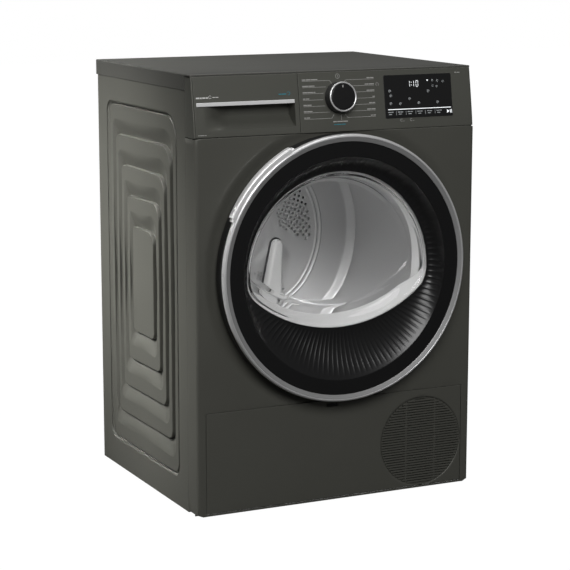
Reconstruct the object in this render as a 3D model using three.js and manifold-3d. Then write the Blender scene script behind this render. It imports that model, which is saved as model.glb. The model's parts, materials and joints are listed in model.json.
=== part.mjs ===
// A heat-pump clothes dryer with its loading door, water drawer, service flap,
// programme knob, drum and drive, built from separate pieces.
// Millimetres, +Z up, front towards -Y. The origin is on the floor, below the
// middle of the whole machine. Pieces are modelled inside a group whose y is
// measured backwards from the face of the front panel.
import * as THREE from 'three';
import { mergeVertices } from 'three/addons/utils/BufferGeometryUtils.js';
import Module from 'manifold-3d';

const wasm = await Module();
wasm.setup();

// ---------------------------------------------------------------- cabinet
const cabinetWidth = 598;
const cabinetHeight = 846;
const cabinetDepth = 510; // face of the front panel to the rear edge of the top
const doorProud = 39; // chrome ring in front of the front panel
const ductProud = 19; // rear duct cover behind the top's rear edge
const seat = 0.3; // gap between pieces that touch
const sheet = 1.2; // pressed steel
const sheetFlange = 14; // inward flange of a steel panel
const panelBottom = 7; // floor to the lower edge of the panels
const cornerRadius = 6; // vertical front edges
const returnDepth = 44; // front panel and fascia wrap this far round the sides
const topThickness = 30;
const topPlate = 3;
const topWall = 2.5;
const topOverhang = 1;
const topRearOverhang = 8;
const topFrontEdge = 20.8;

const halfWidth = cabinetWidth / 2;
const topUnderside = cabinetHeight - topThickness;
const sideFront = returnDepth + seat;
const sideRear = cabinetDepth - topRearOverhang;
const frontY = doorProud - (doorProud + cabinetDepth + ductProud) / 2;

// pressed steps on the side panels, each step inside the one before
const pressingCount = 5;
const pressingDepth = 3;
const pressingFront = 88;
const pressingRearMargin = 32; // from the panel's rear edge
const pressingBottom = 60;
const pressingTopMargin = 46; // below the top's underside
const pressingPitchY = 30;
const pressingPitchZ = 60;
const pressingFrontRadius = 55;
const pressingRearRadius = 24;
const pressingRadiusFall = 5; // each step's corners are this much tighter

// ---------------------------------------------------------------- fascia
const fasciaHeight = 116;
const fasciaToe = 2; // lower edge behind the front panel's face
const fasciaLean = 17.5; // how far the face leans back on its way up
const fasciaCurve = 1.15; // exponent of that lean
const fasciaWall = 3;
const fasciaBottom = cabinetHeight - fasciaHeight;
const fasciaTop = cabinetHeight - topPlate - seat;
const fasciaTilt = Math.atan(0.158); // slope of the face behind the controls

const displayWidth = 150;
const displayHeight = 83;
const displayThickness = 4;
const displayX = 178;
const displayDrop = 54.4; // centre below the machine's top
const displayZ = cabinetHeight - displayDrop;

const knobX = 4;
const knobDrop = 51.5;
const knobZ = cabinetHeight - knobDrop;
const knobRadius = 28.5;
const knobLength = 21;
const knobBaseRadius = 30;
const knobRingDepth = 3;
const knobCapRadius = 24.5;
const spindleRadius = 3;

// ---------------------------------------------------------------- drawer
const drawerRightX = -80.4;
const drawerWall = 2.6;
const stripHeight = 7.5;
const stripDrop = 58.5; // lower edge below the machine's top
const stripZ = cabinetHeight - stripDrop;
const stripLeftX = -291;
const stripRightX = -90.4;
const stripProud = 1.6;
const scoopLeftX = -278;
const scoopRightX = -89.5;
const scoopRise = 14; // above the fascia's lower edge
const scoopBottom = fasciaBottom + scoopRise;
const scoopDepth = 34;
const scoopRamp = 26; // width of the sloped left end
const tankSideGap = 14.5; // drawer's side edge to the tank
const tankHeight = 62;
const tankRise = 12; // above the fascia's lower edge
const tankBottom = fasciaBottom + tankRise;
const tankRear = 470;
const tankWall = 2.5;
const tankCapRadius = 19;
const trayFloor = 3;
const drawerTravelRoom = 2; // side play between the tank and its tray

// ---------------------------------------------------------------- door
const doorZ = 470;
const ringInner = 245.4;
const ringOuter = 259.5;
const ringWall = 3;
const ringRear = -2;
const gripOuter = 268;
const gripStart = 115.5; // degrees round from +X towards +Z
const gripEnd = 156;
const gripFront = -37;
const gripRear = -23;
const faceInner = 216;
const faceFront = -35;
const doorWall = 3;
const windowRadius = 195;
const windowFront = -10;
const windowShift = -4; // window centre beside the door's centre
const windowCentreDrop = 9; // and below it
const windowSmileRadius = 280; // flatter lower edge
const windowBottom = 353; // height of the lower edge's lowest point
const glassThickness = 4;
const bowlDepth = 36;
const bowlTaper = 10; // bowl is this much smaller at its deepest
const bowlLift = 23; // bottom wall slopes up this much more
const innerFrameRear = 3.5;
const innerFrameOuter = 240;
const hingeX = 248;
const hingeY = -19;
const hingeSpacing = 60; // between the two arms
const hingePinRadius = 2.5;
const hingeArmWidth = 5;
const hingeArmHeight = 8;
const hingeRunning = 0.4;
const hookX = -228;
const hookHeight = 16;
const hookReach = 20;

const dishOuter = 285;
const dishInner = 262;
const dishDepth = 7;
const openingRadius = 200;
const openingFlange = 15;

// ---------------------------------------------------------------- drum
const drumRadius = 274;
const drumFront = 66;
const drumRear = 468;
const drumSheet = 1;
const drumMouth = 236;
const drumRearSheet = 1.5;
const drumWallInset = 12;
const drumRearDish = 4; // rear wall's middle stands this far behind its rim
const lifterCount = 2;
const lifterX = 52; // ridge's middle, beside the drum's axis
const lifterHeight = 58;
const lifterWidth = 64;
const lifterEndGap = 22; // ridge's front end to the drum's front wall
const paddleTopX = 82;
const paddleTopDrop = 28; // centre of the round top below the drum's axis
const paddleTopRadius = 20;
const paddleFootRadius = 29;
const paddleProud = 24; // in front of the rear wall
const shaftRadius = 10;
const throatRadius = 196;
const throatWall = 2.5;
const throatFront = 25;
const bulkheadFront = 53;
const bulkheadPlate = 3;
const bulkheadHalfWidth = halfWidth - 15;
const bulkheadBossInset = 19; // from the plate's side edges
const bulkheadBossRise = 64; // above the plate's lower edge
const bulkheadBossDrop = 35; // below the plate's upper edge
const bulkheadTop = 725;
const bulkheadBottom = 186;
const feltInner = 240;
const feltOuter = 264;
const rollerRadius = 35;
const rollerWidth = 20;
const rollerFront = 75;
const rollerAngle = 33; // degrees from straight below the drum's axis
const rollerPinRadius = 6;
const bearingPlateRadius = 138;
const rearHoleRadius = 122;

// ---------------------------------------------------------------- drive
const motorX = -150;
const motorZ = 120;
const motorRadius = 52;
const motorFront = 346;
const motorLength = 78;
const pulleyRadius = 9;
const beltFront = 333;
const beltWidth = 8;
const beltThickness = 2.5;
const beltSlack = 1.5; // round the drum
const idlerX = -62;
const idlerZ = 142;
const idlerRadius = 14;
const fanRadius = 68;
const fanWidth = 34;
const fanGap = 8; // motor's rear face to the fan housing
const fanHousingWall = 3;
const fanHousingRadius = 82;

// ---------------------------------------------------------------- base
const trayBottom = 12;
const trayFloorThickness = 4;
const trayWallTop = 34;
const trayWall = 4;
const trayFront = 19;
const footRadius = 20;
const footPadHeight = 7;
const footStemRadius = 6;
const footInset = 54; // foot's centre from the cabinet's side
const footInsetX = halfWidth - footInset;
const footFrontY = 52;
const footRearY = 452;
const footBossRadius = 13;
const footBossTop = 40;

const flapSideMargin = 19; // flap's end to the cabinet's side
const flapHalfWidth = halfWidth - flapSideMargin;
const flapTop = 207;
const flapBottom = 10;
const flapSkin = 3;
const flapDepth = 12;
const flapGap = 0.8;
const flapHingeY = 8;
const flapHingeZ = 18;
const flapPinRadius = 3;
const grilleX = 188;
const grilleZ = 103.5;
const grilleRadius = 90;
const slotPitch = 10.4;
const slotHeight = 5;
const grilleRibWidth = 3;
const flapButtonX = -12;
const flapButtonWidth = 24;
const flapButtonHeight = 6;
const flapButtonZ = 197;

const ductLeft = -272;
const ductRight = -38;
const ductFront = 25.5;
const ductRear = 318;
const ductTop = 172;
const ductWall = 3;
const lidThickness = 5;
const exchangerSide = 5;
const evaporatorFront = 70;
const evaporatorDepth = 90;
const condenserDepth = 120;
const exchangerSpacing = 12;
const finPitch = 21;
const finGroove = 9;

const compressorX = 150;
const compressorY = 300;
const compressorRadius = 62;
const compressorTop = 178;
const coolingFanRadius = 62;
const coolingFanFront = 24;
const coolingFanDepth = 16;
const pumpX = 186;
const pumpY = 410;
const hoseRadius = 6;

// ---------------------------------------------------------------- materials
function material(color, roughness, metalness) {
  return new THREE.MeshStandardMaterial({ color, roughness, metalness });
}
const manganese = () => material(0x4b4c46, 0.45, 0.3);
const manganesePlastic = () => material(0x4f504a, 0.5, 0.1);
const blackGloss = () => material(0x141416, 0.12, 0);
const blackSatin = () => material(0x202022, 0.5, 0);
const chrome = () => material(0xd4d6d6, 0.12, 1);
const drumSteel = () => material(0xa9abab, 0.35, 0.9);
const zincSteel = () => material(0x9b9ea0, 0.5, 0.8);
const greyPlastic = () => material(0xb9bbb9, 0.55, 0);
const darkPlastic = () => material(0x2d2f30, 0.6, 0);
const rubberBlack = () => material(0x1b1b1c, 0.85, 0);
const feltGrey = () => material(0x7c7b76, 0.95, 0);
const glassClear = () => material(0xc4ccd0, 0.05, 0);
const aluminiumFin = () => material(0xb9bec2, 0.4, 0.9);
const circuitGreen = () => material(0x2c5a3c, 0.6, 0);

// Sides of a round solid, by how large it is.
const largeSides = 40;
const drumSides = 32;
const mediumSides = 20;
const smallSides = 10;

// ---------------------------------------------------------------- shape tools
// A closed three.js geometry as a manifold solid, turned outwards if needed.
function toSolid(geometry) {
  const bare = geometry.index ? geometry.toNonIndexed() : geometry.clone();
  bare.deleteAttribute('normal');
  bare.deleteAttribute('uv');
  const merged = mergeVertices(bare, 1e-4);
  const vertProperties = new Float32Array(merged.attributes.position.array);
  const triVerts = new Uint32Array(merged.index.array);
  if (signedVolume(vertProperties, triVerts) < 0) {
    for (let i = 0; i < triVerts.length; i += 3) {
      [triVerts[i], triVerts[i + 1]] = [triVerts[i + 1], triVerts[i]];
    }
  }
  return new wasm.Manifold(new wasm.Mesh({ numProp: 3, vertProperties, triVerts }));
}

function signedVolume(points, triangles) {
  const corner = (i) => new THREE.Vector3().fromArray(points, 3 * triangles[i]);
  let volume = 0;
  for (let i = 0; i < triangles.length; i += 3) {
    volume += corner(i).dot(corner(i + 1).cross(corner(i + 2)));
  }
  return volume;
}

function toGeometry(solid) {
  const mesh = solid.getMesh();
  const geometry = new THREE.BufferGeometry();
  const positions = new Float32Array(mesh.vertProperties);
  geometry.setAttribute('position', new THREE.BufferAttribute(positions, 3));
  geometry.setIndex(new THREE.BufferAttribute(new Uint32Array(mesh.triVerts), 1));
  geometry.computeVertexNormals();
  return geometry;
}

function join(...solids) {
  return solids.reduce((sum, solid) => sum.add(solid));
}

function cut(solid, ...tools) {
  return tools.reduce((rest, tool) => rest.subtract(tool), solid);
}

function box(x0, x1, y0, y1, z0, z1) {
  const geometry = new THREE.BoxGeometry(x1 - x0, y1 - y0, z1 - z0);
  geometry.translate((x0 + x1) / 2, (y0 + y1) / 2, (z0 + z1) / 2);
  return toSolid(geometry);
}

// An outline of [a, b] points or a THREE.Shape, carried along one world axis.
function prism(axis, outline, from, to, curveSegments = 2) {
  const shape = Array.isArray(outline)
    ? new THREE.Shape(outline.map(([a, b]) => new THREE.Vector2(a, b)))
    : outline;
  const options = { depth: to - from, bevelEnabled: false, curveSegments };
  const geometry = new THREE.ExtrudeGeometry(shape, options);
  geometry.translate(0, 0, from);
  const [x, y, z] = [[1, 0, 0], [0, 1, 0], [0, 0, 1]].map((v) => new THREE.Vector3(...v));
  const bases = { x: [y, z, x], y: [x, z, y], z: [x, y, z] };
  geometry.applyMatrix4(new THREE.Matrix4().makeBasis(...bases[axis]));
  return toSolid(geometry);
}

// A closed profile of [radius, height] points turned about an axis: 'y' has its
// height along +Y, 'z' along +Z. A profile that starts and ends on the axis is
// left open there.
function turned(axis, profile, [x, y, z], segments = mediumSides) {
  const points = profile.map(([r, h]) => new THREE.Vector2(r, h));
  const onAxis = profile[0][0] === 0 && profile[profile.length - 1][0] === 0;
  if (!onAxis) {
    points.push(points[0].clone());
  }
  const geometry = new THREE.LatheGeometry(points, segments);
  if (axis === 'z') {
    geometry.rotateX(Math.PI / 2);
  }
  geometry.translate(x, y, z);
  return toSolid(geometry);
}

function disc(axis, radius, from, to, [x, y, z], segments = mediumSides) {
  return turned(axis, [[0, from], [radius, from], [radius, to], [0, to]], [x, y, z], segments);
}

function tube(axis, outer, inner, from, to, centre, segments = mediumSides) {
  const profile = [[inner, from], [outer, from], [outer, to], [inner, to]];
  return turned(axis, profile, centre, segments);
}

function roundedRect(x0, x1, y0, y1, leftRadius, rightRadius = leftRadius) {
  const shape = new THREE.Shape();
  shape.moveTo(x0 + leftRadius, y0);
  shape.lineTo(x1 - rightRadius, y0);
  shape.absarc(x1 - rightRadius, y0 + rightRadius, rightRadius, -Math.PI / 2, 0);
  shape.absarc(x1 - rightRadius, y1 - rightRadius, rightRadius, 0, Math.PI / 2);
  shape.absarc(x0 + leftRadius, y1 - leftRadius, leftRadius, Math.PI / 2, Math.PI);
  shape.absarc(x0 + leftRadius, y0 + leftRadius, leftRadius, Math.PI, Math.PI * 1.5);
  return shape;
}

// A round pipe along a smooth curve through the given points.
function pipe(points, radius, steps, sides = 8) {
  const path = new THREE.CatmullRomCurve3(points.map((p) => new THREE.Vector3(...p)));
  const section = new THREE.Shape();
  section.absarc(0, 0, radius, 0, Math.PI * 2);
  const options = { steps, extrudePath: path, curveSegments: sides };
  return toSolid(new THREE.ExtrudeGeometry(section, options));
}

const dryer = new THREE.Group();
const machine = new THREE.Group();
machine.position.y = frontY;
dryer.add(machine);

function add(name, solid, look) {
  const mesh = new THREE.Mesh(toGeometry(solid), look);
  mesh.name = name;
  machine.add(mesh);
}

// ---------------------------------------------------------------- base and feet
const feet = [
  ['front_left_foot', -footInsetX, footFrontY],
  ['front_right_foot', footInsetX, footFrontY],
  ['rear_left_foot', -footInsetX, footRearY],
  ['rear_right_foot', footInsetX, footRearY],
];

function levellingFoot(x, y) {
  const profile = [
    [0, 0], [footRadius - 1.5, 0], [footRadius, 1.5], [footRadius, footPadHeight],
    [footStemRadius, footPadHeight], [footStemRadius, footBossTop - 4], [0, footBossTop - 4],
  ];
  return turned('z', profile, [x, y, 0], smallSides);
}

const trayHalfWidth = halfWidth - sheet - seat;
const trayRear = sideRear - sheet - seat;
const trayFloorTop = trayBottom + trayFloorThickness;
const motorSaddleTop = motorZ - motorRadius * 0.6;

function baseTray() {
  const outer = box(-trayHalfWidth, trayHalfWidth, sideFront, trayRear, trayBottom, trayWallTop);
  const lip = box(
    -trayHalfWidth + returnDepth / 4, trayHalfWidth - returnDepth / 4,
    trayFront, sideFront + trayWall, trayBottom, trayFloorTop,
  );
  const inside = box(
    -trayHalfWidth + trayWall, trayHalfWidth - trayWall,
    sideFront + trayWall, trayRear - trayWall, trayFloorTop, trayWallTop + 1,
  );
  const frontGate = box(
    -trayHalfWidth + sheetFlange * 2, trayHalfWidth - sheetFlange * 2,
    sideFront - 1, sideFront + trayWall + 1, trayFloorTop, trayWallTop + 1,
  );
  let tray = cut(join(outer, lip), inside, frontGate);
  for (const [, x, y] of feet) {
    const boss = disc('z', footBossRadius, trayBottom, footBossTop, [x, y, 0], smallSides);
    const bore = disc('z', footStemRadius + seat, 0, footBossTop + 1, [x, y, 0], smallSides);
    tray = cut(join(tray, boss), bore);
  }
  return join(cut(tray, hingeLugRoom()), ...flapLugs(), ...motorSaddles(), compressorPlinth());
}

// Upright lugs at the front corners, bored for the flap's pins.
function flapLugs() {
  return [-1, 1].map((side) => {
    const inner = flapHalfWidth + 1;
    const outer = inner + 5;
    const x0 = Math.min(side * inner, side * outer);
    const x1 = Math.max(side * inner, side * outer);
    const lug = box(
      x0, x1, flapHingeY - 5, trayFront + 1, trayBottom, flapHingeZ + 6,
    );
    const arm = box(x0, x1, trayFront, sideFront + 1, trayBottom, trayFloorTop + 4);
    const bore = prism('x', circle(flapHingeY, flapHingeZ, flapPinRadius + seat), x0 - 1, x1 + 1, 6);
    return cut(join(lug, arm), bore);
  });
}

function hingeLugRoom() {
  return box(-flapHalfWidth - 0.5, flapHalfWidth + 0.5, 0, trayFront, 0, trayFloorTop + 1);
}

function circle(a, b, radius) {
  const shape = new THREE.Shape();
  shape.absarc(a, b, radius, 0, Math.PI * 2);
  return shape;
}

function motorSaddles() {
  return [0.2, 0.8].map((share) => {
    const y = motorFront + motorLength * share;
    const half = motorRadius * 0.7;
    const block = box(motorX - half, motorX + half, y - 4, y + 4, trayFloorTop - 1, motorSaddleTop);
    const bed = disc('y', motorRadius + seat, y - 5, y + 5, [motorX, 0, motorZ], mediumSides);
    return cut(block, bed);
  });
}

function compressorPlinth() {
  const top = trayFloorTop + 12;
  return disc('z', compressorRadius * 0.8, trayFloorTop - 1, top, [compressorX, compressorY, 0], smallSides);
}

// ---------------------------------------------------------------- cabinet panels
function pressing(level) {
  const y0 = pressingFront + level * pressingPitchY;
  const y1 = sideRear - pressingRearMargin - level * pressingPitchY;
  const z0 = pressingBottom + level * pressingPitchZ;
  const z1 = topUnderside - pressingTopMargin - level * pressingPitchZ;
  const fall = level * pressingRadiusFall;
  const rearRadius = pressingRearRadius - fall / 2;
  const frontRadius = pressingFrontRadius - fall;
  return { y0, y1, z0, z1, rearRadius, frontRadius };
}

function pressingShape(level, grow) {
  const p = pressing(level);
  return roundedRect(
    p.y0 - grow, p.y1 + grow, p.z0 - grow, p.z1 + grow, p.frontRadius + grow, p.rearRadius + grow,
  );
}

// A span in x measured inwards from one side's outer face.
function inward(side, from, to) {
  const a = side * (halfWidth - from);
  const b = side * (halfWidth - to);
  return [Math.min(a, b), Math.max(a, b)];
}

function sidePanel(side) {
  const top = topUnderside - seat;
  let panel = box(...inward(side, 0, sheet), sideFront, sideRear, panelBottom, top);
  const flanges = [
    [sideFront, sideFront + sheet, trayWallTop + seat, top],
    [sideRear - sheet, sideRear, panelBottom, top],
    [sideFront, sideRear, top - sheet, top],
  ];
  for (const [y0, y1, z0, z1] of flanges) {
    panel = join(panel, box(...inward(side, 0.5, sheetFlange), y0, y1, z0, z1));
  }
  for (let level = 0; level < pressingCount; level += 1) {
    const floor = (level + 1) * pressingDepth;
    const [x0, x1] = inward(side, 0.6, floor + sheet);
    panel = join(panel, prism('x', pressingShape(level, sheet), x0, x1));
  }
  for (let level = 0; level < pressingCount; level += 1) {
    const [x0, x1] = inward(side, -1, (level + 1) * pressingDepth);
    panel = cut(panel, prism('x', pressingShape(level, 0), x0, x1));
  }
  return panel;
}

const rearPanelRear = sideRear - sheet - seat;

function rearPanel() {
  const half = halfWidth - sheet - seat;
  const top = topUnderside - sheet - 2 * seat;
  const plate = box(-half, half, rearPanelRear - sheet, rearPanelRear, trayWallTop + seat, top);
  const bearingHole = disc(
    'y', rearHoleRadius, rearPanelRear - 3, rearPanelRear + 2, [0, 0, doorZ],
  );
  const fanHole = box(
    motorX - fanHousingRadius * 0.75, motorX + fanHousingRadius * 0.75,
    rearPanelRear - 3, rearPanelRear + 2, motorZ - 40, motorZ + 50,
  );
  const airHoles = [];
  for (let i = 0; i < 8; i += 1) {
    const angle = (i + 0.5) * (Math.PI / 4);
    const x = Math.cos(angle) * 185;
    const z = doorZ + Math.sin(angle) * 185;
    airHoles.push(disc('y', 26, rearPanelRear - 3, rearPanelRear + 2, [x, 0, z], smallSides));
  }
  return cut(plate, bearingHole, fanHole, ...airHoles);
}

const ductCoverRadius = 236;
const ductCoverWall = 2.4;
const ductLegHalf = fanHousingRadius + 10;
const ductLegBottom = motorZ - 60;
const ductCoverFront = rearPanelRear + seat;
const ductCoverRear = cabinetDepth + ductProud;

// Round cover with a leg down to the fan, as a plain body.
function ductCoverBody(grow, front, rear, chamfer) {
  const r = ductCoverRadius + grow;
  const half = ductLegHalf + grow;
  const bottom = ductLegBottom - grow;
  const round = [[0, front], [r, front], [r, rear - chamfer], [r - chamfer, rear], [0, rear]];
  const leg = [
    [motorX - half, bottom], [motorX + half, bottom], [motorX + half, doorZ], [motorX - half, doorZ],
  ];
  return join(turned('y', round, [0, 0, doorZ], drumSides), prism('y', leg, front, rear));
}

// The pressed air channel on the back, with a rim against the rear panel.
function rearDuctCover() {
  const wall = ductCoverWall;
  const front = ductCoverFront;
  const chamfer = 8;
  const rim = ductCoverBody(8, front, front + wall, 1);
  const shell = ductCoverBody(0, front, ductCoverRear, chamfer);
  const hollow = ductCoverBody(-wall, front - 1, ductCoverRear - wall, chamfer);
  return cut(join(shell, rim), hollow);
}

function topPanel() {
  const half = halfWidth + topOverhang;
  const front = returnDepth + 2 * seat + 2;
  const outer = box(-half, half, front, cabinetDepth, topUnderside, cabinetHeight);
  const inside = box(
    -half + topWall, half - topWall, front + topWall, cabinetDepth - topWall,
    topUnderside - 1, cabinetHeight - topPlate,
  );
  const frontPlate = box(
    -half, half, topFrontEdge, front + 1, cabinetHeight - topPlate, cabinetHeight,
  );
  return join(cut(outer, inside), frontPlate);
}

// ---------------------------------------------------------------- front panel
const frontPanelTop = fasciaBottom - seat;

function channelOutline() {
  const r = cornerRadius;
  const shape = new THREE.Shape();
  shape.moveTo(-halfWidth, returnDepth);
  shape.lineTo(-halfWidth, r);
  shape.absarc(-halfWidth + r, r, r, Math.PI, Math.PI * 1.5);
  shape.lineTo(halfWidth - r, 0);
  shape.absarc(halfWidth - r, r, r, -Math.PI / 2, 0);
  shape.lineTo(halfWidth, returnDepth);
  shape.lineTo(halfWidth - sheet, returnDepth);
  shape.lineTo(halfWidth - sheet, r);
  shape.absarc(halfWidth - r, r, r - sheet, 0, -Math.PI / 2, true);
  shape.lineTo(-halfWidth + r, sheet);
  shape.absarc(-halfWidth + r, r, r - sheet, -Math.PI / 2, -Math.PI, true);
  shape.lineTo(-halfWidth + sheet, returnDepth);
  return shape;
}

// The shallow dish round the door and the rolled edge of the loading opening.
function doorDish() {
  const width = dishOuter - dishInner;
  const dip = (share) => dishDepth * Math.sin((share * Math.PI) / 2);
  const steps = [0, 0.35, 1];
  const front = steps.map((s) => [dishOuter - s * width, dip(s)]);
  const back = steps.map((s) => [dishOuter - s * width, dip(s) + sheet]).reverse();
  const rear = dishDepth + openingFlange;
  const profile = [
    [dishOuter + 3, 0], ...front,
    [openingRadius, dishDepth], [openingRadius, rear],
    [openingRadius + sheet, rear], [openingRadius + sheet, dishDepth + sheet],
    ...back, [dishOuter + 3, sheet],
  ];
  return turned('y', profile, [0, 0, doorZ], largeSides);
}

function frontPanel() {
  const channel = prism('z', channelOutline(), panelBottom, frontPanelTop, 3);
  const sill = box(
    -flapHalfWidth, flapHalfWidth, sheet / 2, trayFront - 1, flapTop + flapGap, flapTop + flapGap + sheet,
  );
  const dishRoom = disc('y', dishOuter + 1, -1, dishDepth, [0, 0, doorZ], largeSides);
  const aboveTop = box(-halfWidth, halfWidth, -1, returnDepth, frontPanelTop, cabinetHeight);
  const flapRoom = box(
    -flapHalfWidth - flapGap, flapHalfWidth + flapGap, -2, returnDepth + 1, 0, flapTop + flapGap,
  );
  const hookSlot = box(
    hookX - 10, hookX + 8, dishDepth - 1, dishDepth + sheet + 1,
    doorZ - hookHeight, doorZ + hookHeight,
  );
  return cut(join(cut(join(channel, sill), dishRoom), doorDish()), flapRoom, hookSlot, aboveTop);
}

function doorSeal() {
  const rear = dishDepth - seat;
  const front = innerFrameRear + seat;
  const profile = [
    [openingRadius + 6, rear], [openingRadius + 9, front], [openingRadius + 15, front],
    [openingRadius + 18, rear],
  ];
  return turned('y', profile, [0, 0, doorZ], drumSides);
}

// ---------------------------------------------------------------- fascia
// How far behind the front panel's face the fascia's face lies at a height.
function faceDepth(z) {
  const share = Math.max(0, (z - fasciaBottom) / fasciaHeight);
  return fasciaToe + fasciaLean * share ** fasciaCurve;
}

function faceLine(bottom, top, behind) {
  const count = 4;
  const line = [];
  for (let i = 0; i <= count; i += 1) {
    const z = bottom + ((top - bottom) * i) / count;
    line.push([faceDepth(z) + behind, z]);
  }
  return line;
}

function fasciaSection(bottom, top, rear) {
  return [...faceLine(bottom, top, 0), [rear, top], [rear, bottom]];
}

// Puts a solid modelled at the face, looking along -Y, onto the leaning face.
function onFace(solid, x, z) {
  const degrees = THREE.MathUtils.radToDeg(fasciaTilt);
  return solid.rotate([-degrees, 0, 0]).translate([x, faceDepth(z), z]);
}

const drawerLeftX = -halfWidth + fasciaWall + 0.6;
const drawerFrontRear = returnDepth - 16;
const bayRight = drawerRightX + 0.8;

function controlFascia() {
  const bottom = fasciaBottom + seat;
  const outer = prism('x', fasciaSection(bottom, fasciaTop, returnDepth), -halfWidth, halfWidth);
  const hollow = prism(
    'x',
    [
      ...faceLine(bottom + fasciaWall, fasciaTop - fasciaWall, fasciaWall),
      [returnDepth + 1, fasciaTop - fasciaWall], [returnDepth + 1, bottom + fasciaWall],
    ],
    bayRight + fasciaWall, halfWidth - fasciaWall,
  );
  const bay = box(
    -halfWidth + fasciaWall, bayRight, -1, returnDepth + 1,
    bottom + fasciaWall, fasciaTop - fasciaWall,
  );
  const bayFront = box(
    -halfWidth + fasciaWall, bayRight, -1, drawerFrontRear + 1, bottom - 1, fasciaTop + 1,
  );
  const windowRoom = onFace(
    box(
      -displayWidth / 2 - seat, displayWidth / 2 + seat, -20, 30,
      -displayHeight / 2 - seat, displayHeight / 2 + seat,
    ),
    displayX, displayZ,
  );
  const spindleHole = onFace(disc('y', spindleRadius + 1, -10, 20, [0, 0, 0], smallSides), knobX, knobZ);
  return cut(outer, hollow, bay, bayFront, windowRoom, spindleHole);
}

function displayWindow() {
  const shape = roundedRect(
    -displayWidth / 2, displayWidth / 2, -displayHeight / 2, displayHeight / 2, 3,
  );
  return onFace(prism('y', shape, 0.2, displayThickness, 3), displayX, displayZ);
}

// Circuit board with the display module, relays and the selector switch.
function controlBoard() {
  const boardDepth = 22;
  const left = knobX - 40 - displayX;
  const board = box(left, displayWidth / 2 + 22, boardDepth, boardDepth + 1.6, -40, 26);
  const display = box(
    -displayWidth / 2 + 12, displayWidth / 2 - 12, displayThickness + seat, boardDepth + 1, -18, 24,
  );
  const switchX = knobX - displayX;
  const switchZ = (knobZ - displayZ) / Math.cos(fasciaTilt);
  const selector = box(switchX - 14, switchX + 14, 14, boardDepth + 1, switchZ - 14, switchZ + 14);
  const spindleBore = disc('y', spindleRadius + seat, 10, boardDepth - 1, [switchX, 0, switchZ], smallSides);
  const parts = [display, selector];
  for (const [x, z] of [[-20, -34], [20, -34], [60, -34], [-120, -24]]) {
    parts.push(box(x - 9, x + 9, boardDepth + 1, boardDepth + 11, z, z + 14));
  }
  return onFace(cut(join(board, ...parts), spindleBore), displayX, displayZ);
}

function knobBody() {
  const front = -knobLength;
  const profile = [
    [0, front + 0.4], [knobCapRadius - 1, front + 0.7], [knobCapRadius, front + 1.3],
    [knobCapRadius, front + 2], [knobRadius - 3.2, front + 2], [knobRadius - 3.2, front + knobRingDepth],
    [knobRadius, front + knobRingDepth], [knobBaseRadius, -1.2], [knobBaseRadius - 3, -1.2],
    [knobRadius - 3, front + 6], [spindleRadius + 2, front + 6], [spindleRadius + 2, -4],
    [spindleRadius, -4], [spindleRadius, 20], [0, 20],
  ];
  return onFace(turned('y', profile, [0, 0, 0], mediumSides), knobX, knobZ);
}

function knobRing() {
  const front = -knobLength;
  const inner = knobRadius - 3.2 + seat;
  const profile = [
    [inner, front + knobRingDepth - seat], [inner, front + 0.8], [inner + 1.2, front],
    [knobRadius - 0.4, front + 0.6], [knobRadius, front + knobRingDepth - seat],
  ];
  return onFace(turned('y', profile, [0, 0, 0], mediumSides), knobX, knobZ);
}

// ---------------------------------------------------------------- water drawer
const drawerBottom = fasciaBottom + seat * 2;
const drawerTop = fasciaTop - seat;
const scoopTop = stripZ + stripHeight + 4; // fingers reach up behind the strip

function scoopOutline(grow) {
  const rear = scoopDepth + grow;
  return [
    [scoopLeftX - grow, -2], [scoopLeftX - grow, faceDepth(scoopBottom) + grow / 2],
    [scoopLeftX + scoopRamp - grow, rear], [scoopRightX + grow, rear], [scoopRightX + grow, -2],
  ];
}

function drawerFront() {
  const outer = prism(
    'x', fasciaSection(drawerBottom, drawerTop, drawerFrontRear), drawerLeftX, drawerRightX,
  );
  const hollow = prism(
    'x',
    [
      ...faceLine(drawerBottom + drawerWall, drawerTop - drawerWall, drawerWall),
      [returnDepth, drawerTop - drawerWall], [returnDepth, drawerBottom + drawerWall],
    ],
    drawerLeftX + drawerWall, drawerRightX - drawerWall,
  );
  const pocket = prism('z', scoopOutline(drawerWall), scoopBottom - drawerWall, scoopTop + drawerWall);
  const behindFace = prism(
    'x',
    [
      ...faceLine(scoopBottom - drawerWall - 1, scoopTop + drawerWall + 1, 0.5),
      [scoopDepth + 8, scoopTop + drawerWall + 1], [scoopDepth + 8, scoopBottom - drawerWall - 1],
    ],
    drawerLeftX + 1, drawerRightX - 1,
  );
  const scoop = prism('z', scoopOutline(0), scoopBottom, stripZ);
  const fingerRoom = cut(
    prism('z', scoopOutline(0), scoopBottom, scoopTop),
    prism('x', [[-3, 0], ...faceLine(0, cabinetHeight, 7), [-3, cabinetHeight]], -halfWidth, 0),
  );
  const stripRoom = prism('x', stripSection(0), stripLeftX - seat, stripRightX + seat);
  const shell = cut(outer, hollow);
  return cut(join(shell, pocket.intersect(behindFace)), scoop, fingerRoom, stripRoom);
}

function stripSection(shrink) {
  const z0 = stripZ + shrink;
  const z1 = stripZ + stripHeight - shrink;
  const back = 1.4;
  return [
    [faceDepth(z0) - stripProud - 1 + shrink * 4, z0], [faceDepth(z0) + back - shrink, z0],
    [faceDepth(z1) + back - shrink, z1], [faceDepth(z1) - stripProud - 1 + shrink * 4, z1],
  ];
}

function drawerStrip() {
  return prism('x', stripSection(seat), stripLeftX, stripRightX);
}

const tankLeftX = drawerLeftX + tankSideGap;
const tankRightX = drawerRightX - tankSideGap;
const tankTop = tankBottom + tankHeight;
const tankFront = scoopDepth + drawerWall + seat;
const tankCapY = tankRear - 60;

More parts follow.
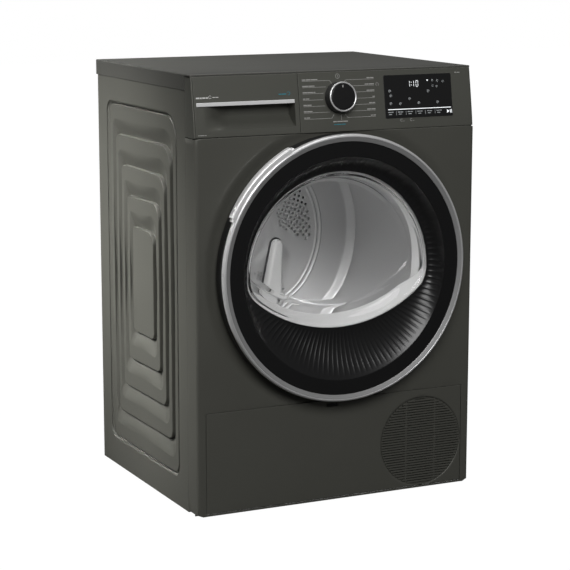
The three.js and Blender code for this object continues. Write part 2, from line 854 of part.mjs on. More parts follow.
function waterTank() {
  const x0 = tankLeftX;
  const x1 = tankRightX;
  const outer = box(x0, x1, tankFront, tankRear, tankBottom, tankTop);
  const inside = box(
    x0 + tankWall, x1 - tankWall, tankFront + tankWall, tankRear - tankWall,
    tankBottom + tankWall, tankTop - tankWall,
  );
  const neck = disc(
    'z', tankCapRadius - 4, tankTop - tankWall - 1, tankTop + 1, [(x0 + x1) / 2, tankCapY, 0], smallSides,
  );
  const ribs = [0.3, 0.7].map((share) => {
    const y = tankFront + (tankRear - tankFront) * share;
    return box(x0 + 12, x1 - 12, y - 3, y + 3, tankTop - 1, tankTop + 2);
  });
  return join(cut(outer, inside, neck), ...ribs);
}

function tankCap() {
  const profile = [
    [0, tankTop - 8], [tankCapRadius - 4.4, tankTop - 8], [tankCapRadius - 4.4, tankTop + seat],
    [tankCapRadius, tankTop + seat], [tankCapRadius, tankTop + 5], [0, tankTop + 5],
  ];
  return turned('z', profile, [(tankLeftX + tankRightX) / 2, tankCapY, 0], smallSides);
}

const trayRiserRear = tankRear + 6;

function tankTray() {
  const x0 = tankLeftX - drawerTravelRoom;
  const x1 = tankRightX + drawerTravelRoom;
  const wall = 2;
  const front = sideFront + 2 * sheet + seat;
  const rear = trayRiserRear - wall;
  const bottom = tankBottom - seat - trayFloor;
  const outer = box(x0 - wall, x1 + wall, front, rear + wall, bottom, tankBottom + 24);
  const inside = box(x0, x1, front - 1, rear, tankBottom - seat, tankBottom + 25);
  const spoutX = (x0 + x1) / 2;
  const riser = box(spoutX - 14, spoutX + 14, rear, rear + wall, tankBottom, tankTop + 6);
  const spout = [spoutX, 0, tankTop - 10];
  const hoseHole = disc('y', hoseRadius + seat, rear - 1, rear + wall + 1, spout, smallSides);
  const hangerLeft = box(
    -halfWidth + sheet + seat, x0 - wall + 1, front, front + 20, tankBottom + 12, tankBottom + 24,
  );
  return cut(join(cut(outer, inside), riser, hangerLeft), hoseHole);
}

// ---------------------------------------------------------------- door
// The window's outline: round on top, with a flatter lower edge.
function windowOutline(grow, lift = 0) {
  const r = windowRadius + grow;
  const centre = doorZ - windowCentreDrop;
  const smileR = windowSmileRadius + grow;
  const smileCentre = windowBottom + lift + windowSmileRadius;
  const reach = smileCentre - centre;
  const meet = (r * r - smileR * smileR + reach * reach) / (2 * reach);
  const halfChord = Math.sqrt(r * r - meet * meet);
  const roundStart = Math.atan2(meet, halfChord);
  const smileStart = Math.PI - Math.atan2(meet - reach, halfChord);
  const points = [];
  const roundSteps = 26;
  for (let i = 0; i <= roundSteps; i += 1) {
    const angle = roundStart + ((Math.PI - 2 * roundStart) * i) / roundSteps;
    points.push([windowShift + Math.cos(angle) * r, centre + Math.sin(angle) * r]);
  }
  const smileSteps = 9;
  for (let i = 1; i < smileSteps; i += 1) {
    const angle = smileStart + ((3 * Math.PI - 2 * smileStart) * i) / smileSteps;
    points.push([windowShift + Math.cos(angle) * smileR, smileCentre + Math.sin(angle) * smileR]);
  }
  return points;
}

function ringSector(inner, outer, startDegrees, endDegrees, from, to) {
  const start = THREE.MathUtils.degToRad(startDegrees);
  const end = THREE.MathUtils.degToRad(endDegrees);
  const shape = new THREE.Shape();
  shape.absarc(0, doorZ, outer, start, end);
  shape.absarc(0, doorZ, inner, end, start, true);
  return prism('y', shape, from, to, 8);
}

function hingeNotches() {
  return [-1, 1].map((side) => {
    const z = doorZ + (side * hingeSpacing) / 2;
    const half = hingeArmHeight / 2 + 1;
    return box(
      hingeX - 8, ringOuter + 5, hingeY - 7.5, innerFrameRear + 5, z - half, z + half,
    );
  });
}

function doorRing() {
  const profile = [
    [ringInner, -36], [ringInner + 4.5, -doorProud], [ringInner + 9, -38],
    [ringOuter, -30], [ringOuter, ringRear],
    [ringOuter - ringWall, ringRear], [ringOuter - ringWall, -31], [ringInner, -34],
  ];
  const ring = turned('y', profile, [0, 0, doorZ], largeSides);
  const grip = ringSector(ringOuter - 1, gripOuter, gripStart, gripEnd, gripFront, gripRear);
  return cut(join(ring, grip), ...hingeNotches());
}

const frameOuter = ringOuter - ringWall - seat;

// Black face ring with the cone that runs in to the window.
function doorFrame() {
  const rear = -5;
  const profile = [
    [faceInner, faceFront], [ringInner - seat, faceFront], [ringInner - seat, -33.4],
    [frameOuter, -30.6], [frameOuter, rear], [frameOuter - doorWall, rear],
    [frameOuter - doorWall, -28], [faceInner + 2, faceFront + doorWall + 1],
    [windowRadius + 11, windowFront], [windowRadius + 11, windowFront + doorWall],
    [10, windowFront + doorWall], [10, windowFront], [windowRadius + 6, windowFront],
  ];
  const frame = turned('y', profile, [0, 0, doorZ], largeSides);
  const opening = prism('y', windowOutline(0), windowFront - 5, windowFront + 10);
  const smallHole = disc('y', 20, windowFront - 5, windowFront + 10, [0, 0, doorZ]);
  return cut(join(frame), opening, smallHole, hingeWell());
}

// Space round the hinge arms inside the door.
function hingeWell() {
  const half = hingeSpacing / 2 + hingeArmHeight / 2 + 1.5;
  return box(hingeX - 14, ringOuter + 5, hingeY - 8, 20, doorZ - half, doorZ + half);
}

// Window glass: a flange held by the frame and a bowl into the drum.
function doorWindow() {
  const flangeFront = windowFront + doorWall + seat;
  const flange = prism('y', windowOutline(5), flangeFront, flangeFront + glassThickness);
  const taper = (inset, from, to) => {
    const geometry = loftOutline(
      windowOutline(-innerStep - inset), windowOutline(-innerStep - bowlTaper - inset, bowlLift), from, to,
    );
    return toSolid(geometry);
  };
  const rear = bowlDepth;
  const bowl = taper(0, flangeFront + 1, rear);
  const hollow = taper(glassThickness, flangeFront - 1, rear - glassThickness);
  return cut(join(flange, bowl), hollow);
}

const innerStep = 5; // bowl's wall inside the window's edge

// A closed body between two outlines with the same number of points.
function loftOutline(a, b, yA, yB) {
  const middle = [0, doorZ - 40];
  const positions = [];
  const triangle = (p, q, r) => positions.push(...p, ...q, ...r);
  const at = ([x, z], y) => [x, y, z];
  for (let i = 0; i < a.length; i += 1) {
    const j = (i + 1) % a.length;
    triangle(at(a[i], yA), at(a[j], yA), at(b[i], yB));
    triangle(at(a[j], yA), at(b[j], yB), at(b[i], yB));
    triangle(at(a[j], yA), at(a[i], yA), [middle[0], yA, middle[1]]);
    triangle(at(b[i], yB), at(b[j], yB), [middle[0], yB, middle[1]]);
  }
  const geometry = new THREE.BufferGeometry();
  geometry.setAttribute('position', new THREE.Float32BufferAttribute(positions, 3));
  return geometry;
}

function doorInnerFrame() {
  const front = windowFront + doorWall + glassThickness + 2 * seat;
  const profile = [
    [windowRadius + 16, front - 3], [innerFrameOuter, front - 3], [innerFrameOuter, innerFrameRear],
    [windowRadius + 16, innerFrameRear],
  ];
  const rim = turned('y', profile, [0, 0, doorZ], drumSides);
  const plate = cut(
    disc('y', windowRadius + 17, front, innerFrameRear, [0, 0, doorZ], drumSides),
    prism('y', windowOutline(-innerStep + 2), front - 1, innerFrameRear + 1),
  );
  return cut(join(rim, plate), hingeWell());
}

function doorHook() {
  const half = hookHeight / 2;
  const base = innerFrameRear + seat;
  const outline = [
    [hookX + 5, base], [hookX + 5, base + hookReach], [hookX - 5, base + hookReach - 3],
    [hookX - 5, base + hookReach - 8], [hookX, base + hookReach - 9], [hookX, base],
  ];
  const plate = box(hookX - 8, hookX + 6, base, base + 2, doorZ - half, doorZ + half);
  return join(prism('z', outline, doorZ - half + 2, doorZ + half - 2), plate);
}

function doorLock() {
  const front = dishDepth + sheet + seat;
  const shell = box(hookX - 17, hookX + 14, front, front + 30, doorZ - 26, doorZ + 26);
  const mouth = box(hookX - 11, hookX + 9, front - 1, front + 22, doorZ - 15, doorZ + 15);
  return cut(shell, mouth);
}

// Steel plate on the dish with two arms, each bored for the pin.
function hingeBracket() {
  const rear = dishDepth - seat;
  const half = hingeSpacing / 2 + hingeArmHeight / 2;
  let bracket = box(hingeX - 18, hingeX + 4, rear - 2, rear, doorZ - half - 10, doorZ + half + 10);
  for (const side of [-1, 1]) {
    const z = doorZ + (side * hingeSpacing) / 2;
    const z0 = z - hingeArmHeight / 2;
    const z1 = z + hingeArmHeight / 2;
    const arm = box(hingeX - hingeArmWidth / 2, hingeX + hingeArmWidth / 2, hingeY, rear - 1, z0, z1);
    const eye = disc('z', hingePinRadius + 2.6, z0, z1, [hingeX, hingeY, 0], smallSides);
    const bore = disc('z', hingePinRadius + hingeRunning, z0 - 1, z1 + 1, [hingeX, hingeY, 0], smallSides);
    bracket = cut(join(bracket, arm, eye), bore);
  }
  return bracket;
}

// Pin with the block that fixes it inside the door, between the two arms.
function hingePin() {
  const half = hingeSpacing / 2 + hingeArmHeight / 2 + 1;
  const pin = disc('z', hingePinRadius, doorZ - half, doorZ + half, [hingeX, hingeY, 0], smallSides);
  const blockHalf = hingeSpacing / 2 - hingeArmHeight / 2 - 1.5;
  const block = box(
    hingeX - 14 + seat, hingeX + 4, hingeY - 7, hingeY + 5, doorZ - blockHalf, doorZ + blockHalf,
  );
  const bridge = box(
    hingeX - 14 + seat, hingeX - 9, hingeY - 7, windowFront + doorWall,
    doorZ - blockHalf, doorZ + blockHalf,
  );
  return join(pin, block, bridge);
}

// ---------------------------------------------------------------- bulkhead and filter
const bulkheadRear = bulkheadFront + bulkheadPlate;
const filterHalf = 82;
const filterFront = 29;
const filterRear = 47;
const filterBottom = 192;
const filterTop = doorZ - throatRadius + 9;
const filterWall = 1.8;
const filterDuctWall = 2;

function rollerCentre(side) {
  const reach = drumRadius + rollerRadius + 0.5;
  const angle = THREE.MathUtils.degToRad(rollerAngle);
  return [side * reach * Math.sin(angle), doorZ - reach * Math.cos(angle)];
}

function frontBulkhead() {
  const plate = prism(
    'y',
    roundedRect(-bulkheadHalfWidth, bulkheadHalfWidth, bulkheadBottom, bulkheadTop, 40),
    bulkheadFront, bulkheadRear, 3,
  );
  const throat = tube(
    'y', throatRadius + throatWall, throatRadius, throatFront, bulkheadRear, [0, 0, doorZ], drumSides,
  );
  const hole = disc('y', throatRadius, throatFront - 1, bulkheadRear + 1, [0, 0, doorZ], drumSides);
  const ductX = filterHalf + seat + filterDuctWall;
  const ductTopZ = doorZ - throatRadius * 0.9;
  const duct = box(
    -ductX, ductX, filterFront - seat - filterDuctWall, bulkheadFront + 1,
    ductTop + 2, ductTopZ,
  );
  const ductHollow = box(
    -filterHalf - seat, filterHalf + seat, filterFront - seat, filterRear + seat,
    ductTop + 1, ductTopZ + 1,
  );
  const bosses = [];
  const bossX = bulkheadHalfWidth - bulkheadBossInset;
  for (const x of [-bossX, bossX]) {
    for (const z of [bulkheadBottom + bulkheadBossRise, bulkheadTop - bulkheadBossDrop]) {
      bosses.push(disc('y', 8, sheet + seat, bulkheadFront + 1, [x, 0, z], smallSides));
    }
  }
  const axles = [-1, 1].map((side) => {
    const [x, z] = rollerCentre(side);
    return disc('y', rollerPinRadius, bulkheadRear - 1, rollerFront + rollerWidth + 3, [x, 0, z], smallSides);
  });
  const shoulders = [-1, 1].map((side) => {
    const [x, z] = rollerCentre(side);
    return disc('y', rollerPinRadius + 6, bulkheadRear - 1, rollerFront - seat, [x, 0, z], smallSides);
  });
  const body = join(plate, throat, cut(duct, hole), ...bosses, ...axles, ...shoulders);
  return cut(body, hole, ductHollow);
}

function lintFilter() {
  const shape = (inset) => [
    [filterFront + inset, filterTop + 1], [filterRear - inset, filterTop + 1],
    [filterRear - inset, filterBottom + inset + 20], [filterFront + 9, filterBottom + inset],
    [filterFront + inset, filterBottom + inset + 6],
  ];
  const outer = prism('x', shape(0), -filterHalf, filterHalf);
  const inside = prism('x', shape(filterWall), -filterHalf + filterWall, filterHalf - filterWall);
  const trim = box(-filterHalf - 1, filterHalf + 1, 0, 80, filterTop, filterTop + 5);
  const collar = box(
    -filterHalf, filterHalf, filterFront + 1, filterFront + 4, filterTop - 6, filterTop,
  );
  return join(cut(outer, inside, trim), collar);
}

function feltSeal() {
  return tube('y', feltOuter, feltInner, bulkheadRear + seat, drumFront - seat, [0, 0, doorZ], drumSides);
}

// ---------------------------------------------------------------- drum
function drumShell() {
  const r = drumRadius;
  const t = drumSheet;
  const profile = [
    [drumMouth, drumFront], [r, drumFront], [r, drumRear], [r - t, drumRear],
    [r - t, drumFront + t], [drumMouth + t, drumFront + t], [drumMouth + t, drumFront + 10],
    [drumMouth, drumFront + 10],
  ];
  return turned('y', profile, [0, 0, doorZ], drumSides);
}

function drumRearWall() {
  const r = drumRadius - drumSheet - seat;
  const y = drumRear - drumWallInset;
  const t = drumRearSheet;
  const d = drumRearDish;
  const profile = [
    [0, y + d], [60, y + d], [80, y], [r - 20, y], [r, y + d], [r, y + d + t],
    [r - 21, y + t], [80, y + t], [50, y + d + t], [shaftRadius, y + 12],
    [shaftRadius, rearPanelRear + 6], [0, rearPanelRear + 6],
  ];
  return turned('y', profile, [0, 0, doorZ], drumSides);
}

// A ridge along the drum's wall that turns up its rear wall as a paddle.
function drumLifter(index) {
  const outer = drumRadius - drumSheet - seat;
  const crest = outer - lifterHeight;
  const half = lifterWidth / 2;
  const front = drumFront + lifterEndGap;
  const rear = drumRear - drumWallInset - seat;
  const waistZ = -crest - lifterHeight * 0.35;
  const outline = new THREE.Shape();
  outline.moveTo(lifterX - half, -outer - 2);
  outline.lineTo(lifterX + half, -outer - 2);
  outline.quadraticCurveTo(lifterX + half * 0.35, waistZ, lifterX + half * 0.28, -crest - 5);
  outline.quadraticCurveTo(lifterX, -crest + 2, lifterX - half * 0.28, -crest - 5);
  outline.quadraticCurveTo(lifterX - half * 0.35, waistZ, lifterX - half, -outer - 2);
  const ridge = prism('y', outline, front, rear, 5);
  const footZ = -outer + paddleFootRadius;
  const foot = [lifterX, footZ, paddleFootRadius];
  const silhouette = hullOutline([foot, [paddleTopX, -paddleTopDrop, paddleTopRadius]], mediumSides);
  const paddle = prism('y', silhouette, rear - paddleProud, rear);
  const room = disc('y', outer, front - 1, rear + 1, [0, 0, doorZ], drumSides);
  const turn = (index * 360) / lifterCount;
  return join(ridge, paddle).rotate([0, turn, 0]).translate([0, 0, doorZ]).intersect(room);
}

function rearBearing() {
  const front = rearPanelRear - sheet - seat - 2;
  const bore = shaftRadius + 0.5;
  const profile = [
    [bore, front - 12], [26, front - 12], [30, front], [bearingPlateRadius, front],
    [bearingPlateRadius, front + 2], [bore, front + 2],
  ];
  return turned('y', profile, [0, 0, doorZ], mediumSides);
}

function drumRoller(side) {
  const [x, z] = rollerCentre(side);
  const front = rollerFront;
  const profile = [
    [rollerPinRadius + seat, front], [rollerRadius, front], [rollerRadius, front + rollerWidth],
    [rollerPinRadius + seat, front + rollerWidth],
  ];
  return turned('y', profile, [x, 0, z], mediumSides);
}

// ---------------------------------------------------------------- drive
// Points of the convex outline round several [x, z, radius] circles.
function hullOutline(circles, segments) {
  const points = [];
  for (const [x, z, radius] of circles) {
    const count = radius > 100 ? segments : mediumSides;
    for (let i = 0; i < count; i += 1) {
      const angle = (i / count) * Math.PI * 2;
      points.push([x + Math.cos(angle) * radius, z + Math.sin(angle) * radius]);
    }
  }
  points.sort((p, q) => p[0] - q[0] || p[1] - q[1]);
  const turnsRight = (o, a, b) => (a[0] - o[0]) * (b[1] - o[1]) - (a[1] - o[1]) * (b[0] - o[0]) <= 0;
  const halfHull = (list) => {
    const chain = [];
    for (const point of list) {
      while (chain.length > 1 && turnsRight(chain[chain.length - 2], chain[chain.length - 1], point)) {
        chain.pop();
      }
      chain.push(point);
    }
    return chain.slice(0, -1);
  };
  return [...halfHull(points), ...halfHull([...points].reverse())];
}

function driveBelt() {
  const loop = (extra) => hullOutline(
    [
      [0, doorZ, drumRadius + beltSlack + extra],
      [motorX, motorZ, pulleyRadius + seat + extra],
      [idlerX, idlerZ, idlerRadius + seat + extra],
    ],
    drumSides,
  );
  const rear = beltFront + beltWidth;
  return cut(
    prism('y', loop(beltThickness), beltFront, rear), prism('y', loop(0), beltFront - 1, rear + 1),
  );
}

const fanHousingFront = motorFront + motorLength + fanGap;
const fanHousingRear = rearPanelRear - sheet - seat;
const fanFront = fanHousingFront + fanHousingWall + 6;

function motor() {
  const rear = motorFront + motorLength;
  const bore = 4 + 0.4;
  const profile = [
    [bore, motorFront], [24, motorFront], [30, motorFront + 6], [motorRadius, motorFront + 8],
    [motorRadius, rear - 8], [30, rear - 6], [24, rear], [bore, rear],
  ];
  return turned('y', profile, [motorX, 0, motorZ], mediumSides);
}

function motorShaft() {
  const pulleyRear = beltFront + beltWidth + 1.5;
  const pulleyFront = beltFront - 1.5;
  const profile = [
    [0, pulleyFront - 3], [pulleyRadius + 2, pulleyFront - 3], [pulleyRadius + 2, pulleyFront],
    [pulleyRadius, pulleyFront], [pulleyRadius, pulleyRear], [4, pulleyRear],
    [4, fanFront + fanWidth + 4], [0, fanFront + fanWidth + 4],
  ];
  return turned('y', profile, [motorX, 0, motorZ], smallSides);
}

// Centrifugal wheel: hub, back plate and blades.
function processFan() {
  const centre = [motorX, 0, motorZ];
  const rear = fanFront + fanWidth;
  const hub = tube('y', 12, 4 + seat, fanFront, rear, centre, smallSides);
  const plate = tube('y', fanRadius, 8, rear - 2, rear, centre, mediumSides);
  let wheel = join(hub, plate);
  const bladeCount = 8;
  for (let i = 0; i < bladeCount; i += 1) {
    const blade = box(fanRadius * 0.5, fanRadius - 1, fanFront + 4, rear - 1, -1, 1);
    wheel = join(wheel, blade.rotate([0, (i * 360) / bladeCount, 0]).translate(centre));
  }
  return wheel;
}

function fanHousing() {
  const centre = [motorX, 0, motorZ];
  const outer = disc('y', fanHousingRadius, fanHousingFront, fanHousingRear, centre, mediumSides);
  const hollowRadius = fanHousingRadius - fanHousingWall;
  const hollowFront = fanHousingFront + fanHousingWall;
  const hollow = disc('y', hollowRadius, hollowFront, fanHousingRear + 1, centre, mediumSides);
  const inlet = disc('y', fanRadius * 0.6, fanHousingFront - 1, fanHousingFront + 9, centre, mediumSides);
  const footHalf = 30;
  const foot = box(
    motorX - footHalf, motorX + footHalf, fanHousingFront, trayRear - trayWall - seat,
    trayFloorTop + seat, motorZ - fanHousingRadius + 6,
  );
  return cut(join(outer, foot), hollow, inlet);
}

function idlerArm() {
  const front = beltFront + beltWidth + 3;
  const pivot = [motorX + 52, motorZ - motorRadius - 14];
  const blade = hullOutline([[pivot[0], pivot[1], 8], [idlerX, idlerZ, 8]], smallSides);
  const plate = prism('y', blade, front, front + 3);
  const axle = disc('y', 4, beltFront - 3, front + 1, [idlerX, 0, idlerZ], smallSides);
  const post = box(
    pivot[0] - 8, pivot[0] + 8, front, front + 20, trayFloorTop + seat, pivot[1] + 4,
  );
  return join(plate, axle, post);
}

function idlerPulley() {
  const front = beltFront - 1.5;
  const rear = beltFront + beltWidth + 1.5;
  return tube('y', idlerRadius, 4 + seat, front, rear, [idlerX, 0, idlerZ], smallSides);
}

// ---------------------------------------------------------------- heat pump
function airDuctCover() {
  const outer = box(ductLeft, ductRight, ductFront, ductRear, trayFloorTop + seat, ductTop);
  const inside = box(
    ductLeft + ductWall, ductRight - ductWall, ductFront - 1, ductRear + 1,
    trayFloorTop, ductTop - ductWall,
  );
  const intake = box(
    ductRight - 45, ductRight - ductWall - 4, filterFront, filterRear, ductTop - ductWall - 1, ductTop + 1,
  );
  const trayRim = box(
    ductLeft - 1, ductRight + 1, sideFront - seat, sideFront + trayWall + seat, 0, trayWallTop + seat,
  );
  const rimCornerRight = -trayHalfWidth + sheetFlange * 2 + seat;
  const rimCorner = trayRim.intersect(box(ductLeft - 1, rimCornerRight, 0, 80, 0, 60));
  return cut(outer, inside, intake, rimCorner);
}

function exchangerLid() {
  const rear = ductFront - seat;
  const plate = box(
    ductLeft + 2, ductRight - 2, rear - lidThickness, rear, trayFloorTop + seat, ductTop - 4,
  );
  const levers = [0.2, 0.8].map((share) => {
    const x = ductLeft + (ductRight - ductLeft) * share;
    return box(x - 8, x + 8, rear - lidThickness - 3, rear - 1, ductTop - 60, ductTop - 20);
  });
  return join(plate, ...levers);
}

function finnedBlock(front, depth) {
  const x0 = ductLeft + ductWall + exchangerSide;
  const x1 = ductRight - ductWall - exchangerSide;
  const top = ductTop - ductWall - seat;
  let block = box(x0, x1, front, front + depth, trayFloorTop + seat, top);
  for (let x = x0 + finPitch / 2; x < x1 - finGroove; x += finPitch) {
    block = cut(block, box(x, x + finGroove, front - 1, front + 8, trayFloorTop + 12, top - 12));
  }
  return block;
}

function compressor() {
  const base = trayFloorTop + 12 + seat;
  const r = compressorRadius;
  const profile = [
    [0, base], [r - 8, base], [r, base + 8], [r, compressorTop - 28],
    [r * 0.86, compressorTop - 10], [r * 0.5, compressorTop], [0, compressorTop],
  ];
  return turned('z', profile, [compressorX, compressorY, 0], mediumSides);
}

function coolingFan() {
  const rear = coolingFanFront + coolingFanDepth;
  const hub = disc('y', 18, coolingFanFront, rear, [0, 0, 0], smallSides);
  let fan = hub;
  const bladeCount = 7;
  for (let i = 0; i < bladeCount; i += 1) {
    const blade = box(10, coolingFanRadius, -1, 1, -9, 9).rotate([38, 0, 0]);
    const placed = blade.translate([0, (coolingFanFront + rear) / 2, 0]);
    fan = join(fan, placed.rotate([0, (i * 360) / bladeCount, 0]));
  }
  const bore = disc('y', 3 + seat, rear - 8, rear + 1, [0, 0, 0], smallSides);
  return cut(fan, bore).translate([grilleX, 0, grilleZ]);
}

// Motor of the cooling fan on a post that stands on the base tray.
function coolingFanMotor() {
  const front = coolingFanFront + coolingFanDepth + 1;
  const body = disc('y', 18, front, front + 26, [grilleX, 0, grilleZ], smallSides);
  const axle = disc('y', 3, front - 7, front + 1, [grilleX, 0, grilleZ], smallSides);
  const post = box(
    grilleX - 12, grilleX + 12, front + 10, front + 24, trayFloorTop + seat, grilleZ,
  );
  return join(body, axle, post);
}

function drainPump() {
  const base = trayFloorTop + seat;
  const well = disc('z', 26, base, base + 34, [pumpX, pumpY, 0], smallSides);
  const motorCan = disc('z', 17, base + 33, base + 62, [pumpX, pumpY, 0], smallSides);
  const outlet = disc('z', hoseRadius + 2, base + 20, base + 46, [pumpX + 24, pumpY, 0], smallSides);
  const bridge = box(pumpX, pumpX + 24, pumpY - 8, pumpY + 8, base + 8, base + 34);
  return join(well, motorCan, outlet, bridge);
}

function drainHose() {
  const x = pumpX + 24;
  const rearY = fanHousingRear - 9;
  const spoutX = (tankLeftX + tankRightX) / 2;
  const z = tankTop - 10;
  const points = [
    [x, pumpY, trayFloorTop + 48], [x, pumpY, 84], [x + 20, rearY - 30, 140],
    [x + 50, rearY, 260], [x + 54, rearY, 480], [x + 48, rearY, 680],
    [x + 14, rearY, z - 22], [x - 40, rearY, z], [0, rearY, z + 2],
    [spoutX + 50, rearY, z], [spoutX + 6, rearY - 2, z], [spoutX, rearY - 9, z],
    [spoutX, trayRiserRear + seat, z],
  ];
  return pipe(points, hoseRadius, 40, 2);
}

function powerInlet() {
  const x = 232;
  const z = topUnderside - 56;
  const block = box(x - 30, x + 30, rearPanelRear + seat, cabinetDepth + 4, z - 22, z + 22);
  const socket = box(x - 14, x + 14, cabinetDepth - 6, cabinetDepth + 5, z - 9, z + 9);
  return cut(block, socket);
}

// ---------------------------------------------------------------- service flap
function serviceFlap() {
  const x0 = -flapHalfWidth;
  const x1 = flapHalfWidth;
  const outer = box(x0, x1, 0, flapDepth, flapBottom, flapTop);
  const hollow = box(x0 + 2.5, x1 - 2.5, flapSkin, flapDepth + 1, flapBottom + 2.5, flapTop - 2.5);
  let flap = cut(outer, hollow);
  const pinBlocks = [-1, 1].map((side) => {
    const a = side * (flapHalfWidth - 6);
    const b = side * flapHalfWidth;
    const block = box(
      Math.min(a, b), Math.max(a, b), 1, flapDepth, flapBottom, flapHingeZ + 6,
    );
    const tip = side * (flapHalfWidth + 5);
    const pin = prism(
      'x', circle(flapHingeY, flapHingeZ, flapPinRadius), Math.min(a, tip), Math.max(a, tip), 6,
    );
    return join(block, pin);
  });
  flap = join(flap, ...pinBlocks);
  flap = cut(flap, ...grilleSlots());
  const buttonRoom = box(
    flapButtonX - flapButtonWidth / 2 - 0.4, flapButtonX + flapButtonWidth / 2 + 0.4, -1, flapSkin + 1,
    flapButtonZ - flapButtonHeight / 2 - 0.4, flapButtonZ + flapButtonHeight / 2 + 0.4,
  );
  return cut(flap, buttonRoom);
}

// Rows of slots inside a circle, interrupted by two upright ribs.
function grilleSlots() {
  const slots = [];
  const rows = Math.floor(grilleRadius / slotPitch);
  const ribs = [-grilleRadius * 0.38, grilleRadius * 0.38];
  for (let row = -rows; row <= rows; row += 1) {
    const z = row * slotPitch;
    const half = Math.sqrt(grilleRadius ** 2 - z ** 2) - 2;
    if (half > 6) {
      for (const [a, b] of slotSpans(half, ribs)) {
        slots.push(box(
          grilleX + a, grilleX + b, -1, flapSkin + 1,
          grilleZ + z - slotHeight / 2, grilleZ + z + slotHeight / 2,
        ));
      }
    }
  }
  return slots;
}

function slotSpans(half, ribs) {
  const edges = [-half, ...ribs.filter((x) => Math.abs(x) < half - 4), half];
  const spans = [];
  for (let i = 0; i + 1 < edges.length; i += 1) {
    const from = edges[i] + (i > 0 ? grilleRibWidth / 2 : 0);
    const to = edges[i + 1] - (i + 2 < edges.length ? grilleRibWidth / 2 : 0);
    spans.push([from, to]);
  }
  return spans;
}

function flapButton() {
  const halfX = flapButtonWidth / 2;
  const halfZ = flapButtonHeight / 2;
  const cap = box(
    flapButtonX - halfX, flapButtonX + halfX, 0.4, flapSkin + 2,
    flapButtonZ - halfZ, flapButtonZ + halfZ,
  );
  const retainer = box(
    flapButtonX - halfX - 2, flapButtonX + halfX + 2, flapSkin + seat, flapSkin + 2,
    flapButtonZ - halfZ - 2, flapButtonZ + halfZ + 2,
  );
  return join(cap, retainer);
}

// ---------------------------------------------------------------- assembly
add('base_tray', baseTray(), darkPlastic());
for (const [name, x, y] of feet) {
  add(name, levellingFoot(x, y), rubberBlack());
}
add('left_side_panel', sidePanel(-1), manganese());
add('right_side_panel', sidePanel(1), manganese());
add('rear_panel', rearPanel(), zincSteel());
add('rear_duct_cover', rearDuctCover(), darkPlastic());
add('top_panel', topPanel(), manganesePlastic());
add('front_panel', frontPanel(), manganese());
add('door_seal', doorSeal(), rubberBlack());
add('front_bulkhead', frontBulkhead(), greyPlastic());
add('lint_filter', lintFilter(), greyPlastic());
add('drum_felt_seal', feltSeal(), feltGrey());

add('control_fascia', controlFascia(), manganesePlastic());
add('display_window', displayWindow(), blackGloss());
add('control_board', controlBoard(), circuitGreen());
add('knob_body', knobBody(), blackSatin());
add('knob_ring', knobRing(), chrome());

add('drawer_front', drawerFront(), manganesePlastic());
add('drawer_strip', drawerStrip(), chrome());
add('water_tank', waterTank(), greyPlastic());
add('tank_cap', tankCap(), darkPlastic());
add('tank_tray', tankTray(), darkPlastic());

add('door_ring', doorRing(), chrome());
add('door_frame', doorFrame(), blackGloss());
add('door_window', doorWindow(), glassClear());
add('door_inner_frame', doorInnerFrame(), greyPlastic());
add('door_hook', doorHook(), zincSteel());
add('door_lock', doorLock(), darkPlastic());
add('door_hinge_bracket', hingeBracket(), zincSteel());
add('door_hinge_pin', hingePin(), zincSteel());

add('drum_shell', drumShell(), drumSteel());
add('drum_rear_wall', drumRearWall(), drumSteel());
for (let i = 0; i < lifterCount; i += 1) {
  add(`drum_lifter_${i + 1}`, drumLifter(i), greyPlastic());
}
add('rear_bearing_housing', rearBearing(), zincSteel());
add('left_drum_roller', drumRoller(-1), rubberBlack());
add('right_drum_roller', drumRoller(1), rubberBlack());

add('drive_belt', driveBelt(), rubberBlack());
add('motor', motor(), zincSteel());
add('motor_shaft', motorShaft(), zincSteel());
add('process_fan', processFan(), darkPlastic());
add('fan_housing', fanHousing(), darkPlastic());
add('idler_arm', idlerArm(), zincSteel());
add('idler_pulley', idlerPulley(), darkPlastic());

add('air_duct_cover', airDuctCover(), darkPlastic());
add('exchanger_lid', exchangerLid(), darkPlastic());
const condenserFront = evaporatorFront + evaporatorDepth + exchangerSpacing;
add('evaporator', finnedBlock(evaporatorFront, evaporatorDepth), aluminiumFin());
add('condenser', finnedBlock(condenserFront, condenserDepth), aluminiumFin());
add('compressor', compressor(), blackSatin());
add('cooling_fan', coolingFan(), darkPlastic());
add('cooling_fan_motor', coolingFanMotor(), darkPlastic());
add('drain_pump', drainPump(), darkPlastic());
add('drain_hose', drainHose(), rubberBlack());
add('power_inlet', powerInlet(), darkPlastic());

add('service_flap', serviceFlap(), manganesePlastic());
add('flap_button', flapButton(), darkPlastic());

export default dryer;
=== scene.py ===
"""Looks of a front-loading clothes dryer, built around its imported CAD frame."""

import json
import logging
import math
from dataclasses import dataclass, field
from enum import Enum
from typing import Callable, Optional, Sequence

